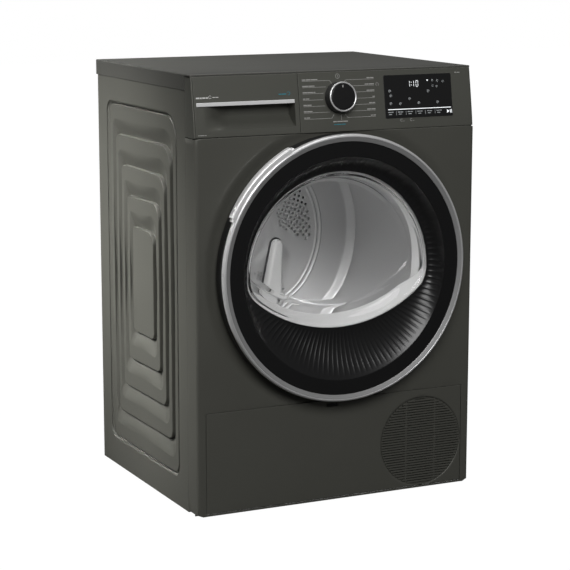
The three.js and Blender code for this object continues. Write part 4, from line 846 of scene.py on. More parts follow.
@dataclass
class FrontPanel:
    """The front panel: a plain face round a shallow round dish with the loading opening in it."""

    half: float = CABINET_HALF
    low: float = 5.0
    high: float = 729.7
    flap_top: float = 207.8  # upper edge of the flap's room
    flap_half: float = 280.8  # half that room's width
    wrap: float = 44.0  # depth that the side walls run back to
    corner: float = 6.0  # radius of the upright edges
    seam: float = 1.0  # radius of the level edges
    opening: float = 200.0  # loading opening's radius
    dish_inner: float = 256.0  # radius at which the dish's floor ends
    dish_outer: float = 289.0  # radius at which its rim reaches the face
    dish_depth: float = 6.5  # depth of its floor
    flange: float = 15.0  # length of the opening's rolled edge
    spokes: int = 288  # points in a ring

    def dish(self, radius: np.ndarray) -> np.ndarray:
        """Depth of the face at a distance from the door's centre: half a cosine wave at the rim."""
        share = np.clip((self.dish_outer - radius) / (self.dish_outer - self.dish_inner), 0, 1)
        return self.dish_depth * (1 - np.cos(math.pi * share)) / 2

    def reach(self) -> np.ndarray:
        """Length of each spoke from the door's centre to the edge of the flat face.

        Returns:
            (n, 1) lengths.
        """
        unit = np.abs(polar(1.0, spokes(self.spokes)))
        up = np.sin(spokes(self.spokes)) > 0
        across = (self.half - self.corner) / np.maximum(unit[:, 0], 1e-9)
        height = np.where(up, self.high - self.seam - DOOR_AXIS[1], DOOR_AXIS[1] - self.low - self.seam)
        return np.minimum(across, height / np.maximum(unit[:, 1], 1e-9))

    def face(self) -> Surface:
        """Builds the dished face out to its rounded edges and their walls.

        Returns:
            The open surface, looking forwards.
        """
        angle = spokes(self.spokes)
        reach = self.reach()
        knee = np.minimum(self.dish_outer + 1.0, reach - 2.0)
        inner = [self.opening + 1.5, self.opening + 20, self.dish_inner - 14, self.dish_inner - 1]
        radii = [np.full(self.spokes, r) for r in inner]
        radii += [self.dish_inner + (knee - self.dish_inner) * s for s in np.linspace(0, 1, 11)]
        radii += [knee + (reach - knee) * s for s in (0.08, 0.4, 0.9, 1.0)]
        rings = self.rim()
        rings += [placed(polar(radius, angle, DOOR_AXIS), self.dish(radius)) for radius in radii]
        rings += self.edges(polar(reach, angle, DOOR_AXIS), self.dish(reach))
        return facing(loft(rings, capped=False), (0, -1, 0))

    def rim(self) -> list[np.ndarray]:
        """Rings of the rolled edge of the loading opening, from its rear to the dish's floor.

        Returns:
            The rings.
        """
        floor = self.dish_depth
        line = [(0.0, floor + self.flange), (0.0, floor + 1.5), (0.45, floor + 0.45)]
        angle = spokes(self.spokes)
        return [placed(polar(self.opening + out, angle, DOOR_AXIS), depth) for out, depth in line]

    def edges(self, edge: np.ndarray, depth: np.ndarray) -> list[np.ndarray]:
        """Rings over the rounded edges and back along the walls.

        Args:
            edge: Last ring of the face.
            depth: Its depth.

        Returns:
            The rings.
        """
        middle = np.array([0.0, (self.low + self.high) / 2])
        inner = np.array([self.half - self.corner, (self.high - self.low) / 2 - self.seam])
        outer = np.array([self.half, (self.high - self.low) / 2])
        out = (edge - middle) / inner * outer + middle
        upright = np.abs(edge[:, 0]) > inner[0] - 1e-6
        radius = np.where(upright, self.corner, self.seam)
        wall = np.where(upright, self.wrap, depth + 4.0)
        rings = []
        for angle in np.linspace(0, math.pi / 2, 6)[1:]:
            across = edge + (out - edge) * math.sin(angle)
            rings.append(placed(across, depth + radius * (1 - math.cos(angle))))
        rings.append(placed(out, wall))
        return rings

    def build(self) -> None:
        """Builds the panel."""
        self.foot()
        piece = make_piece(
            "front_face", self.face(), BODY_STEEL, Body.CABINET, ["front_panel"], sharp=40,
        )
        self.cut_flap_room(piece.data)
        thicken(piece, SHEET)

    def foot(self) -> None:
        """Builds the thin strip under the flap, and the dark wall behind it under the base tray: painted
        shade that the gap between strip and flap shows in place of the white floor.
        """
        half, wall_half = self.flap_half + 0.6, self.half - 3.0
        strip = rounded_rectangle((-half, self.low + 0.2), (half, 9.3), 0.5, arc=2)
        make_piece("front_foot_strip", slab(strip, 0.3, 0.9, 0.2), BODY_STEEL, Body.CABINET)
        # Dark wall: painted shade seen through the gap over the strip, where the floor would show white.
        wall = rounded_rectangle((-wall_half, 3.0), (wall_half, 11.6), 0.5, arc=2)
        make_piece("front_foot_shade_wall", slab(wall, 19.5, 21.0, 0.3), DARK_PLASTIC, Body.CABINET)

    def cut_flap_room(self, mesh: bpy.types.Mesh) -> None:
        """Takes out the flap's room: splits the mesh along its three sides, then drops what lies inside.

        Args:
            mesh: The panel's mesh, in metres.
        """
        net = bmesh.new()
        net.from_mesh(mesh)
        top, half = self.flap_top * MM, self.flap_half * MM
        up, across = (0, 0, 1), (1, 0, 0)
        for place, normal in (((0, 0, top), up), ((-half, 0, 0), across), ((half, 0, 0), across)):
            everything = [*net.verts, *net.edges, *net.faces]
            bmesh.ops.bisect_plane(net, geom=everything, plane_co=place, plane_no=normal, dist=1e-6)
        middles = [(face, face.calc_center_median()) for face in net.faces]
        inside = [face for face, middle in middles if middle.z < top and abs(middle.x) < half]
        bmesh.ops.delete(net, geom=inside, context="FACES")
        net.to_mesh(mesh)
        net.free()


FACE_FOOT, FACE_RISE = 730.0, 116.0  # where the fascia's leaning face starts, and its height, in mm
FACE_LEAN = 17.5  # how far its top lies behind its foot


def fascia_face(z: np.ndarray | float) -> np.ndarray:
    """Depth of the control fascia's leaning face at a height, which curves back as it rises."""
    share = np.maximum(0.0, (np.asarray(z, float) - FACE_FOOT) / FACE_RISE)
    return 2.0 + FACE_LEAN * share**1.15


KNOB_PLACE = (4.0, 794.5)  # x and height of the programme knob's middle, in mm
FACE_TILT = math.atan(0.158)  # the fascia's lean at the middle of its height


def on_face(surface: Surface, x: float, z: float) -> Surface:
    """Puts a surface made round the origin, looking forwards, on the fascia's leaning face.

    Args:
        surface: The surface.
        x: Where its origin goes.
        z: Height that its origin goes to.

    Returns:
        The placed copy.
    """
    u, v, w = surface.points.T
    c, s = math.cos(FACE_TILT), math.sin(FACE_TILT)
    points = np.column_stack((u + x, v * c + w * s + float(fascia_face(z)), -v * s + w * c + z))
    return Surface(points, surface.quads, surface.caps)


@dataclass
class Fascia:
    """The control fascia: its face right of the drawer, and the left cheek beside it."""

    half: float = CABINET_HALF
    bottom: float = 730.3
    top: float = 842.7
    wrap: float = 44.0  # depth that the side walls run back to
    drawer_right: float = -79.6  # edge beside the drawer
    cheek: float = 3.0  # left cheek's width
    spindle_room: float = 9.0  # half the width of the square opening behind the knob

    LEVEL = Edge(0.8, 4.0)

    def build(self) -> None:
        """Builds the fascia."""
        (x, z), room = KNOB_PLACE, self.spindle_room
        wanted = sorted([*np.linspace(-70, 290, 13), x - room, x + room])
        columns = edge_lines(self.drawer_right, self.half, wanted, Edge(0.8, 26.0), Edge(5.0, 40.0, 6))
        rows = edge_lines(self.bottom, self.top, sorted([*self.levels(), z - room, z + room]), self.LEVEL)
        face = self.wrapped(panel_grid(columns, rows, fascia_face, self.is_spindle_room), 1)
        piece = make_piece(
            "fascia_face", merged([face, self.left_cheek()]), FASCIA_PLASTIC, Body.CABINET,
            ["control_fascia"], sharp=40,
        )
        self.seam_backing()
        thicken(piece, 2.2)

    def levels(self) -> np.ndarray:
        """Heights of the level grid lines."""
        return np.linspace(736, 838, 12)

    def is_spindle_room(self, x: np.ndarray, z: np.ndarray) -> np.ndarray:
        """Tells which cells lie in the opening for the knob's spindle."""
        near = np.abs(x - KNOB_PLACE[0]) < self.spindle_room
        return near & (np.abs(z - KNOB_PLACE[1]) < self.spindle_room)

    def wrapped(self, surface: Surface, side: int) -> Surface:
        """Runs the outer wall back to one depth.

        Args:
            surface: A part of the fascia, which is changed.
            side: -1 for its left wall, 1 for its right.

        Returns:
            The surface.
        """
        x, depth, z = surface.points.T
        deep = (side * x > self.half - 1e-6) & (depth > fascia_face(z) + 20)
        surface.points[:, 1] = np.where(deep, self.wrap, depth)
        return surface

    def left_cheek(self) -> Surface:
        """The wall left of the drawer, whose front edge is rounded.

        Returns:
            The open surface.
        """
        columns = edge_lines(-self.half, -self.half + self.cheek, [], Edge(1.4, 40.0), Edge(0.5, 24.0, 2))
        rows = edge_lines(self.bottom, self.top, self.levels(), self.LEVEL)
        return self.wrapped(panel_grid(columns, rows, fascia_face), -1)

    def seam_backing(self) -> None:
        """Builds the dark blocks behind both ends of the seam to the front panel."""
        end, low = self.half - 1.0, self.bottom - 6.5
        right = rounded_rectangle((end - 50, low), (end, low + 12), 0.5, arc=2)
        left = rounded_rectangle((-end, low), (-end + 50, low + 6.1), 0.5, arc=2)
        blocks = merged([slab(outline, 7.5, 42.0, 0.4) for outline in (right, left)])
        make_piece("seam_backing", blocks, DARK_PLASTIC, Body.CABINET)


@dataclass
class ServiceFlap:
    """The lower flap with its round air grille of fine louvres."""

    half: float = 280.0
    bottom: float = 10.0
    top: float = 207.0
    depth: float = 12.0  # depth of its walls
    grille: tuple[float, float] = (188.0, 101.5)  # grille's centre, in x and height
    radius: float = 90.0
    pitch: float = 5.2  # louvres' pitch
    gap: float = 1.7  # gap between two louvres
    button: tuple[float, float] = (-12.0, 197.0)  # button's centre
    button_half: tuple[float, float] = (12.4, 3.4)  # half the size of the button's opening

    def is_hole(self, x: np.ndarray, z: np.ndarray) -> np.ndarray:
        """Tells which cells lie in the grille's round or in the button's opening.

        Args:
            x: Cells' middles.
            z: Their heights.

        Returns:
            True for each cell that is left out.
        """
        in_round = (x - self.grille[0]) ** 2 + (z - self.grille[1]) ** 2 < (self.radius + 1.5) ** 2
        near_button = np.abs(x - self.button[0]) < self.button_half[0]
        near_button &= np.abs(z - self.button[1]) < self.button_half[1]
        return in_round | near_button

    def face(self) -> Surface:
        """The flap's face, with a round hole whose rim follows the circle.

        Grid lines are 3 mm apart near the grille. Points near the circle slide along the
        line from its centre on to it, so that the hole's rim is round.

        Returns:
            The open surface, looking forwards.
        """
        span = self.radius + 9
        fine_x = np.arange(self.grille[0] - span, min(self.grille[0] + span, self.half - 2), 3.0)
        fine_z = np.arange(self.bottom + 1.5, self.top - 1.5, 3.0)
        button_x, button_z = (np.array([c - h, c + h]) for c, h in zip(self.button, self.button_half))
        clear = np.min(np.abs(fine_z[:, None] - button_z), axis=1) > 1.0
        lines_x = sorted([*np.linspace(-270, 80, 15), *fine_x, *button_x])
        columns = edge_lines(-self.half, self.half, lines_x, Edge(1.0, self.depth))
        rows = edge_lines(self.bottom, self.top, sorted([*fine_z[clear], *button_z]), Edge(1.0, self.depth))
        surface = panel_grid(columns, rows, np.zeros_like, self.is_hole)
        offset = surface.points[:, [0, 2]] - np.array(self.grille)
        reach = np.linalg.norm(offset, axis=1)
        used = np.bincount(surface.quads.ravel(), minlength=len(surface.points))
        at_front = surface.points[:, 1] < 1e-6
        on_rim = (np.abs(reach - self.radius - 1) < 8) & (used > 0) & (used < 4) & at_front
        factor = np.where(on_rim, (self.radius + 0.4) / np.maximum(reach, 1e-6), 1.0)
        surface.points[:, [0, 2]] = np.array(self.grille) + offset * factor[:, None]
        return surface

    def louvres(self) -> Surface:
        """Bars across the round, two upright ribs behind them, and the plain rim that carries them.

        Returns:
            Closed surfaces in one.
        """
        count = int(self.radius / self.pitch)
        parts = []
        for height in np.arange(-count, count + 1) * self.pitch:
            half = math.sqrt(max(self.radius**2 - (abs(height) + 1.5) ** 2, 0)) - 0.2
            if half > 8:
                parts.append(self.bar(height, half))
        parts += [self.rib(x) for x in (-self.radius * 0.36, self.radius * 0.36)]
        line = [(-4, 2.6), (3, 2.6), (3, 4), (1, 11.5), (-1, 11.5)]
        rim = rounded_profile([(self.radius + out, depth) for out, depth in line], 0.6)
        return merged([*parts, revolved(rim, self.grille)])

    def bar(self, height: float, half: float) -> Surface:
        """One louvre with a rounded front.

        Args:
            height: Its height above the grille's centre.
            half: Half its length.

        Returns:
            A closed surface.
        """
        low = self.grille[1] + height - (self.pitch - self.gap) / 2
        high = low + self.pitch - self.gap
        section = rounded_profile([(0.1, low), (0.1, high), (3.2, high), (3.2, low)], 0.6, 2)
        return loft([placed(section, self.grille[0] + side * half, Axis.X) for side in (-1, 1)]).outward()

    def rib(self, offset: float) -> Surface:
        """An upright rib behind the louvres.

        Args:
            offset: Its place beside the grille's centre.

        Returns:
            A closed surface.
        """
        half = math.sqrt(self.radius**2 - offset**2)
        x = self.grille[0] + offset
        low, high = self.grille[1] - half, self.grille[1] + half
        outline = rounded_rectangle((x - 1.6, low), (x + 1.6, high), 0.5, arc=2)
        return slab(outline, 1.2, 5.0, 0.3)

    def ends(self) -> Surface:
        """Hinge blocks and pins at the lower corners.

        Returns:
            Closed surfaces in one.
        """
        block = rounded_rectangle((1.2, self.bottom + 0.3), (self.depth, 24.0), 1.5, arc=3)
        parts = []
        for side in (-1, 1):
            low, high = sorted((side * (self.half - 6), side * (self.half - 1.3)))
            parts.append(slab(block, low, high, 0.3, Axis.X))
            near, far = sorted((side * (self.half - 3), side * (self.half + 5)))
            pin = [(0.4, near), (3.0, near), (3.0, far - 0.5), (2.5, far), (0.4, far)]
            parts.append(revolved(pin, (8.0, 18.0), 24, Axis.X))
        return merged(parts)

    def build(self) -> None:
        """Builds the flap's face with its walls, its grille and its hinge ends."""
        face = make_piece(
            "flap_face", self.face(), BODY_STEEL, Body.FLAP, ["service_flap"], sharp=40,
        )
        thicken(face, 2.4)
        make_piece("flap_grille", self.louvres(), BODY_STEEL, Body.FLAP)
        make_piece("flap_hinge_ends", self.ends(), DARK_PLASTIC, Body.FLAP)
        outline = rounded_rectangle((-25.5, 192.3), (1.5, 201.7), 1.5, arc=4)
        cap = rounded_rectangle((-23.6, 194.3), (-0.4, 199.7), 1.2, arc=4)
        button = merged([slab(cap, 0.4, 3.2, 0.5), slab(outline, 3.2, 5.0, 0.2)])
        make_piece("flap_catch_button", button, BLACK_SATIN, Body.FLAP_BUTTON, ["flap_button"])


# ---------------------------------------------------------------- door
@dataclass
class Window:
    """The door window's outline: round on top, with a flatter lower edge."""

    radius: float = 195.0
    shift: float = -4.0  # how far its centre lies beside the door's
    drop: float = 9.0  # how far its centre lies below the door's
    smile: float = 280.0  # radius of the lower edge
    bottom: float = 353.0
    blend: float = 0.16  # sharpness of the two corners where the arcs meet
    spokes: int = 224  # points round

    def reach(self, angle: np.ndarray, grow: float = 0.0, lift: float = 0.0) -> np.ndarray:
        """Distance from the door's centre to the outline along each spoke.

        It is the smooth lesser of the ways to the two circles: minus the logarithm of the
        sum of exp(-way times blend), over blend.

        Args:
            angle: Spokes' angles.
            grow: How far the outline is grown.
            lift: How far its lower edge is raised.

        Returns:
            The distances.
        """
        ways = []
        smile_height = self.bottom + lift + self.smile - DOOR_AXIS[1]
        for height, radius in ((-self.drop, self.radius + grow), (smile_height, self.smile + grow)):
            along = self.shift * np.cos(angle) + height * np.sin(angle)
            ways.append(along + np.sqrt(along**2 - height**2 - self.shift**2 + radius**2))
        return -np.log(sum(np.exp(-way * self.blend) for way in ways)) / self.blend

    def ring(self, depth: float, grow: float = 0.0, lift: float = 0.0, scale: float = 1.0) -> np.ndarray:
        """The outline as a ring of points.

        Args:
            depth: Where it lies.
            grow: How far it is grown.
            lift: How far its lower edge is raised.
            scale: Share of the way out from a point a little below the door's centre.

        Returns:
            (n, 3) points.
        """
        angle = spokes(self.spokes)
        outline = polar(self.reach(angle, grow, lift), angle, DOOR_AXIS)
        middle = np.array(DOOR_AXIS) + (0.0, 10.0)
        return placed(middle + (outline - middle) * scale, depth)


@dataclass
class DoorFrame:
    """Black ring-shaped face and the ribbed slope down to the window."""

    window: Window
    face_outer: float = 245.1  # flat face's outer radius
    face_inner: float = 216.0  # its inner radius
    face_depth: float = -35.0  # its depth
    sill_depth: float = -10.0  # depth where the slope meets the window
    outer: float = 256.2
    rear: float = -5.0
    ribs: int = 112  # ribs round the slope
    rib_height: float = 0.9  # their height
    arm_height: float = 30.0  # how far above and below the centre the hinge arms lie
    arm_room: float = 5.6  # half the height of the notch over an arm
    arm_front: float = -28.0  # depth of the notches' floor

    SHARES = (0.0, 0.02, 0.06, 0.1, 0.16, 0.24, 0.34, 0.46, 0.6, 0.74, 0.86, 0.93, 0.97, 1.0)

    def circle(self, radius: float, depth: float, angle: np.ndarray) -> np.ndarray:
        """A circle of points round the door's centre, with notches over the two hinge arms.

        Args:
            radius: Its radius.
            depth: Its depth.
            angle: Spokes' angles.

        Returns:
            (n, 3) points.
        """
        x, rise = polar(radius, angle).T
        arm = (np.abs(np.abs(rise) - self.arm_height) < self.arm_room) & (x > 0)
        return placed(polar(radius, angle, DOOR_AXIS), np.where(arm, min(depth, self.arm_front), depth))

    def slope(self, share: float, angle: np.ndarray, back: float) -> np.ndarray:
        """One ring of the slope between the face and the window.

        The depth falls fast at first: one less (1 - share) to the power 2.2 of the whole fall.
        Each rib is a cosine of the spoke's angle raised to the eighth power, and fades at both ends.

        Args:
            share: Share of the way from the face to the window.
            angle: Spokes' angles.
            back: How far behind the front surface the ring lies.

        Returns:
            (n, 3) points.
        """
        radius = self.face_inner + (self.window.reach(angle) - self.face_inner) * share
        depth = self.face_depth + (self.sill_depth - self.face_depth) * (1 - (1 - share) ** 2.2) + back
        if not back:
            fade = math.sin(math.pi * min(max((share - 0.06) / 0.86, 0), 1)) ** 0.5
            depth = depth - self.rib_height * fade * np.cos(angle * self.ribs / 2) ** 8
        return placed(polar(radius, angle, DOOR_AXIS), depth)

    def build(self) -> None:
        """Builds the frame as one closed skin, from its rear rim over the face to the window and back."""
        angle = spokes(self.ribs * 10)
        rear_inner = self.outer - 2.6
        front = [
            (rear_inner, self.rear), (self.outer, self.rear), (self.outer, -30.6),
            (self.face_outer + 0.2, -33.4), (self.face_outer, self.face_depth + 0.5),
            (self.face_outer - 0.5, self.face_depth), (self.face_inner + 0.8, self.face_depth),
        ]
        rings = [self.circle(radius, depth, angle) for radius, depth in front]
        rings += [self.slope(share, angle, 0.0) for share in self.SHARES]
        rings += [self.slope(share, angle, 2.6) for share in (1.0, 0.7, 0.4, 0.15, 0.0)]
        rings.append(self.circle(rear_inner, -29.0, angle))
        surface = loft(rings, closed=True).outward()
        make_piece("door_face", surface, BLACK_GLOSS, Body.DOOR, ["door_frame"], sharp=42)


@dataclass
class DoorRing:
    """Bright ring round the door with a grip on its upper left."""

    grip_start: float = 115.5  # angle in degrees at which the grip starts, anticlockwise from the right
    grip_end: float = 156.0  # angle at which it ends
    grip_outer: float = 268.0  # its outer radius

    BAND = ((245.4, -36.0), (253.2, -38.6), (253.2, -33.0), (245.4, -33.7))  # radius and depth
    EDGE = (
        (253.4, -38.4), (255.2, -39.0), (258.0, -37.0), (259.5, -32.5),
        (259.5, -27.4), (256.7, -27.4), (256.7, -31.5), (253.4, -32.2),
    )
    # The skirt is black: it stands for both the door's dark side and the painted shade behind the bright
    # edge.
    SHADED_SKIRT = ((256.7, -27.0), (258.9, -27.0), (258.9, -2.0), (256.7, -2.0))
    ARM_GAP = (5.2, 8.2)  # degrees above and below level between which the skirt is open
    GRIP_LOW = ((257.5, -36.0), (262.0, -36.0), (264.0, -34), (264.0, -23.8), (257.5, -23.8))

    def build(self) -> None:
        """Builds the satin band, the bright edge, the dark skirt open over the hinge arms, and the grip. The
        skirt's black stands for both the door's dark side and painted shade behind the bright edge.
        """
        band = revolved(rounded_profile(self.BAND, 0.5), steps=256)
        make_piece("door_ring_band", band, CHROME_SATIN, Body.DOOR)
        edge = revolved(rounded_profile(self.EDGE, 1.4, 4), steps=256)
        make_piece("door_ring_edge", edge, CHROME, Body.DOOR, ["door_ring"])
        skirt = rounded_profile(self.SHADED_SKIRT, 0.6)
        near, far = self.ARM_GAP
        long_sector = revolved(skirt, steps=240, start=far, end=360.0 - far)
        sectors = merged([long_sector, revolved(skirt, steps=8, start=-near, end=near)])
        make_piece("door_ring_shaded_skirt", sectors, BLACK_SATIN, Body.DOOR)
        make_piece("door_grip", self.grip(), CHROME_BRIGHT, Body.DOOR)

    def grip(self) -> Surface:
        """The grip: a wide sector with a lower step at each end.

        Returns:
            Closed surfaces in one.
        """
        out, start, end = self.grip_outer, self.grip_start, self.grip_end
        tall = [(257.5, -37.2), (265.5, -37.2), (out, -34.5), (out, -23.4), (257.5, -23.4)]
        return merged([
            revolved(rounded_profile(tall, 1.4), steps=60, start=start + 1.4, end=end - 1.4),
            revolved(rounded_profile(self.GRIP_LOW, 1.0), steps=64, start=start, end=end),
        ])


@dataclass
class DoorGlass:
    """The window glass: a flange behind the frame and a bowl that reaches into the drum."""

    window: Window
    flange: float = -6.7  # depth of the flange's front
    thick: float = 4.0  # thickness of the glass
    step: float = 5.0  # way inwards from the outline to the bowl's wall
    taper: float = 10.0  # way inwards along the wall
    lift: float = 23.0  # how far the lower edge rises along the wall
    depth: float = 36.0  # depth of the bowl's rear

    FLOOR = (0.02, 0.35, 0.7, 1.0)  # sizes of the rings that make up the bowl's floor

    def wall(self, share: float, extra: float, depth: float) -> np.ndarray:
        """A ring of the bowl's wall."""
        return self.window.ring(depth, -self.step - extra - self.taper * share, self.lift * share)

    def floor(self, scale: float, inwards: float) -> np.ndarray:
        """A ring of the bowl's floor, which bulges a little."""
        depth = self.depth - inwards + 0.6 * (1 - scale)
        return self.window.ring(depth, -self.step - inwards - self.taper - 6, self.lift, scale)

    def build(self) -> None:
        """Builds the glass from rings that run over its front, down the bowl, and back outside it."""
        ring, wall, front, t, end = self.window.ring, self.wall, self.flange, self.thick, self.depth
        rings = [self.floor(scale, t) for scale in self.FLOOR]
        rings += [wall(1.0, t + 3.4, end - t - 0.6), wall(0.97, t + 1.3, end - t - 2.2)]
        rings += [wall(s, t, front + (end - t - front) * s) for s in (0.88, 0.7, 0.5, 0.3, 0.12)]
        rings += [wall(0.02, t - 0.4, front + 1.0), wall(0.0, t - 2.0, front)]
        rings += [ring(front + d, grow) for grow, d in ((4.4, 0.0), (5.0, 0.6), (5.0, 3.4), (4.4, 4.0))]
        rings += [ring(front + t, -3.0), ring(front + t + 1.4, -self.step)]
        rings += [wall(s, 0.0, front + (end - front) * s) for s in (0.3, 0.5, 0.7, 0.88, 0.95)]
        rings += [wall(0.99, 1.3, end - 1.0), wall(1.0, 3.6, end)]
        rings += [self.floor(scale, 0.0) for scale in reversed(self.FLOOR)]
        bowl = loft(rings).outward()
        make_piece("door_bowl", bowl, GLASS, Body.DOOR, ["door_window"], sharp=60)


@dataclass
class InnerFrame:
    """Light grey frame behind the glass, whose collar follows the bowl in, furthest at its foot."""

    window: Window
    front: float = -2.1  # depth of its front
    rear: float = 3.5  # depth of its back
    outer: float = 240.0  # its radius
    collar: float = 24.0  # depth of the collar's end at the foot
    room: float = 1.2  # gap round the bowl
    hinge: tuple[float, float] = (236.5, 35.5)  # where the rim is cut straight, and half the cut's height

    def sunk(self, depth: float, grow: float, lift: float) -> np.ndarray:
        """A ring of the collar: it lies this deep at the foot and about a quarter as deep elsewhere.

        Args:
            depth: Its depth at the foot.
            grow: How far the outline is grown there.
            lift: How far the outline's lower edge is raised there.

        Returns:
            (n, 3) points.
        """
        share = 0.24 + 0.76 * smooth(-np.sin(spokes(self.window.spokes)) / 0.36)
        sunk_depth = self.front + (depth - self.front) * share
        return self.window.ring(sunk_depth, grow * share + self.room, lift * share)

    def build(self) -> None:
        """Builds the frame as one closed skin: collar's end, its inner side, the front, the rim and back."""
        w = self.window
        inner = [
            (self.collar, -5.4, 16.0), (14.0, -3.6, 11.0), (4.0, -2.2, 5.0), (self.front + 0.6, -1.4, 1.0),
        ]
        rim = [(31.0, self.front), (28.5, -5.4), (0.0, -5.4), (0.0, self.rear)]
        rings = [*[self.sunk(*line) for line in inner], w.ring(self.front, 0.4)]
        rings += [placed(polar(self.outer - less, spokes(w.spokes), DOOR_AXIS), d) for less, d in rim]
        rings.append(w.ring(self.rear, 1.6 + self.room, 5.0))
        rings += [self.sunk(14.0, 0.4, 10.0), self.sunk(self.collar, -1.6, 16.0)]
        surface = loft(rings, closed=True).outward()
        x, _, z = surface.points.T
        beside = np.abs(z - DOOR_AXIS[1]) < self.hinge[1]
        surface.points[:, 0] = np.where(beside, np.minimum(x, self.hinge[0]), x)
        make_piece(
            "door_inner_collar", surface, SHADED_COLLAR_PLASTIC, Body.DOOR, ["door_inner_frame"],
            sharp=40,
        )


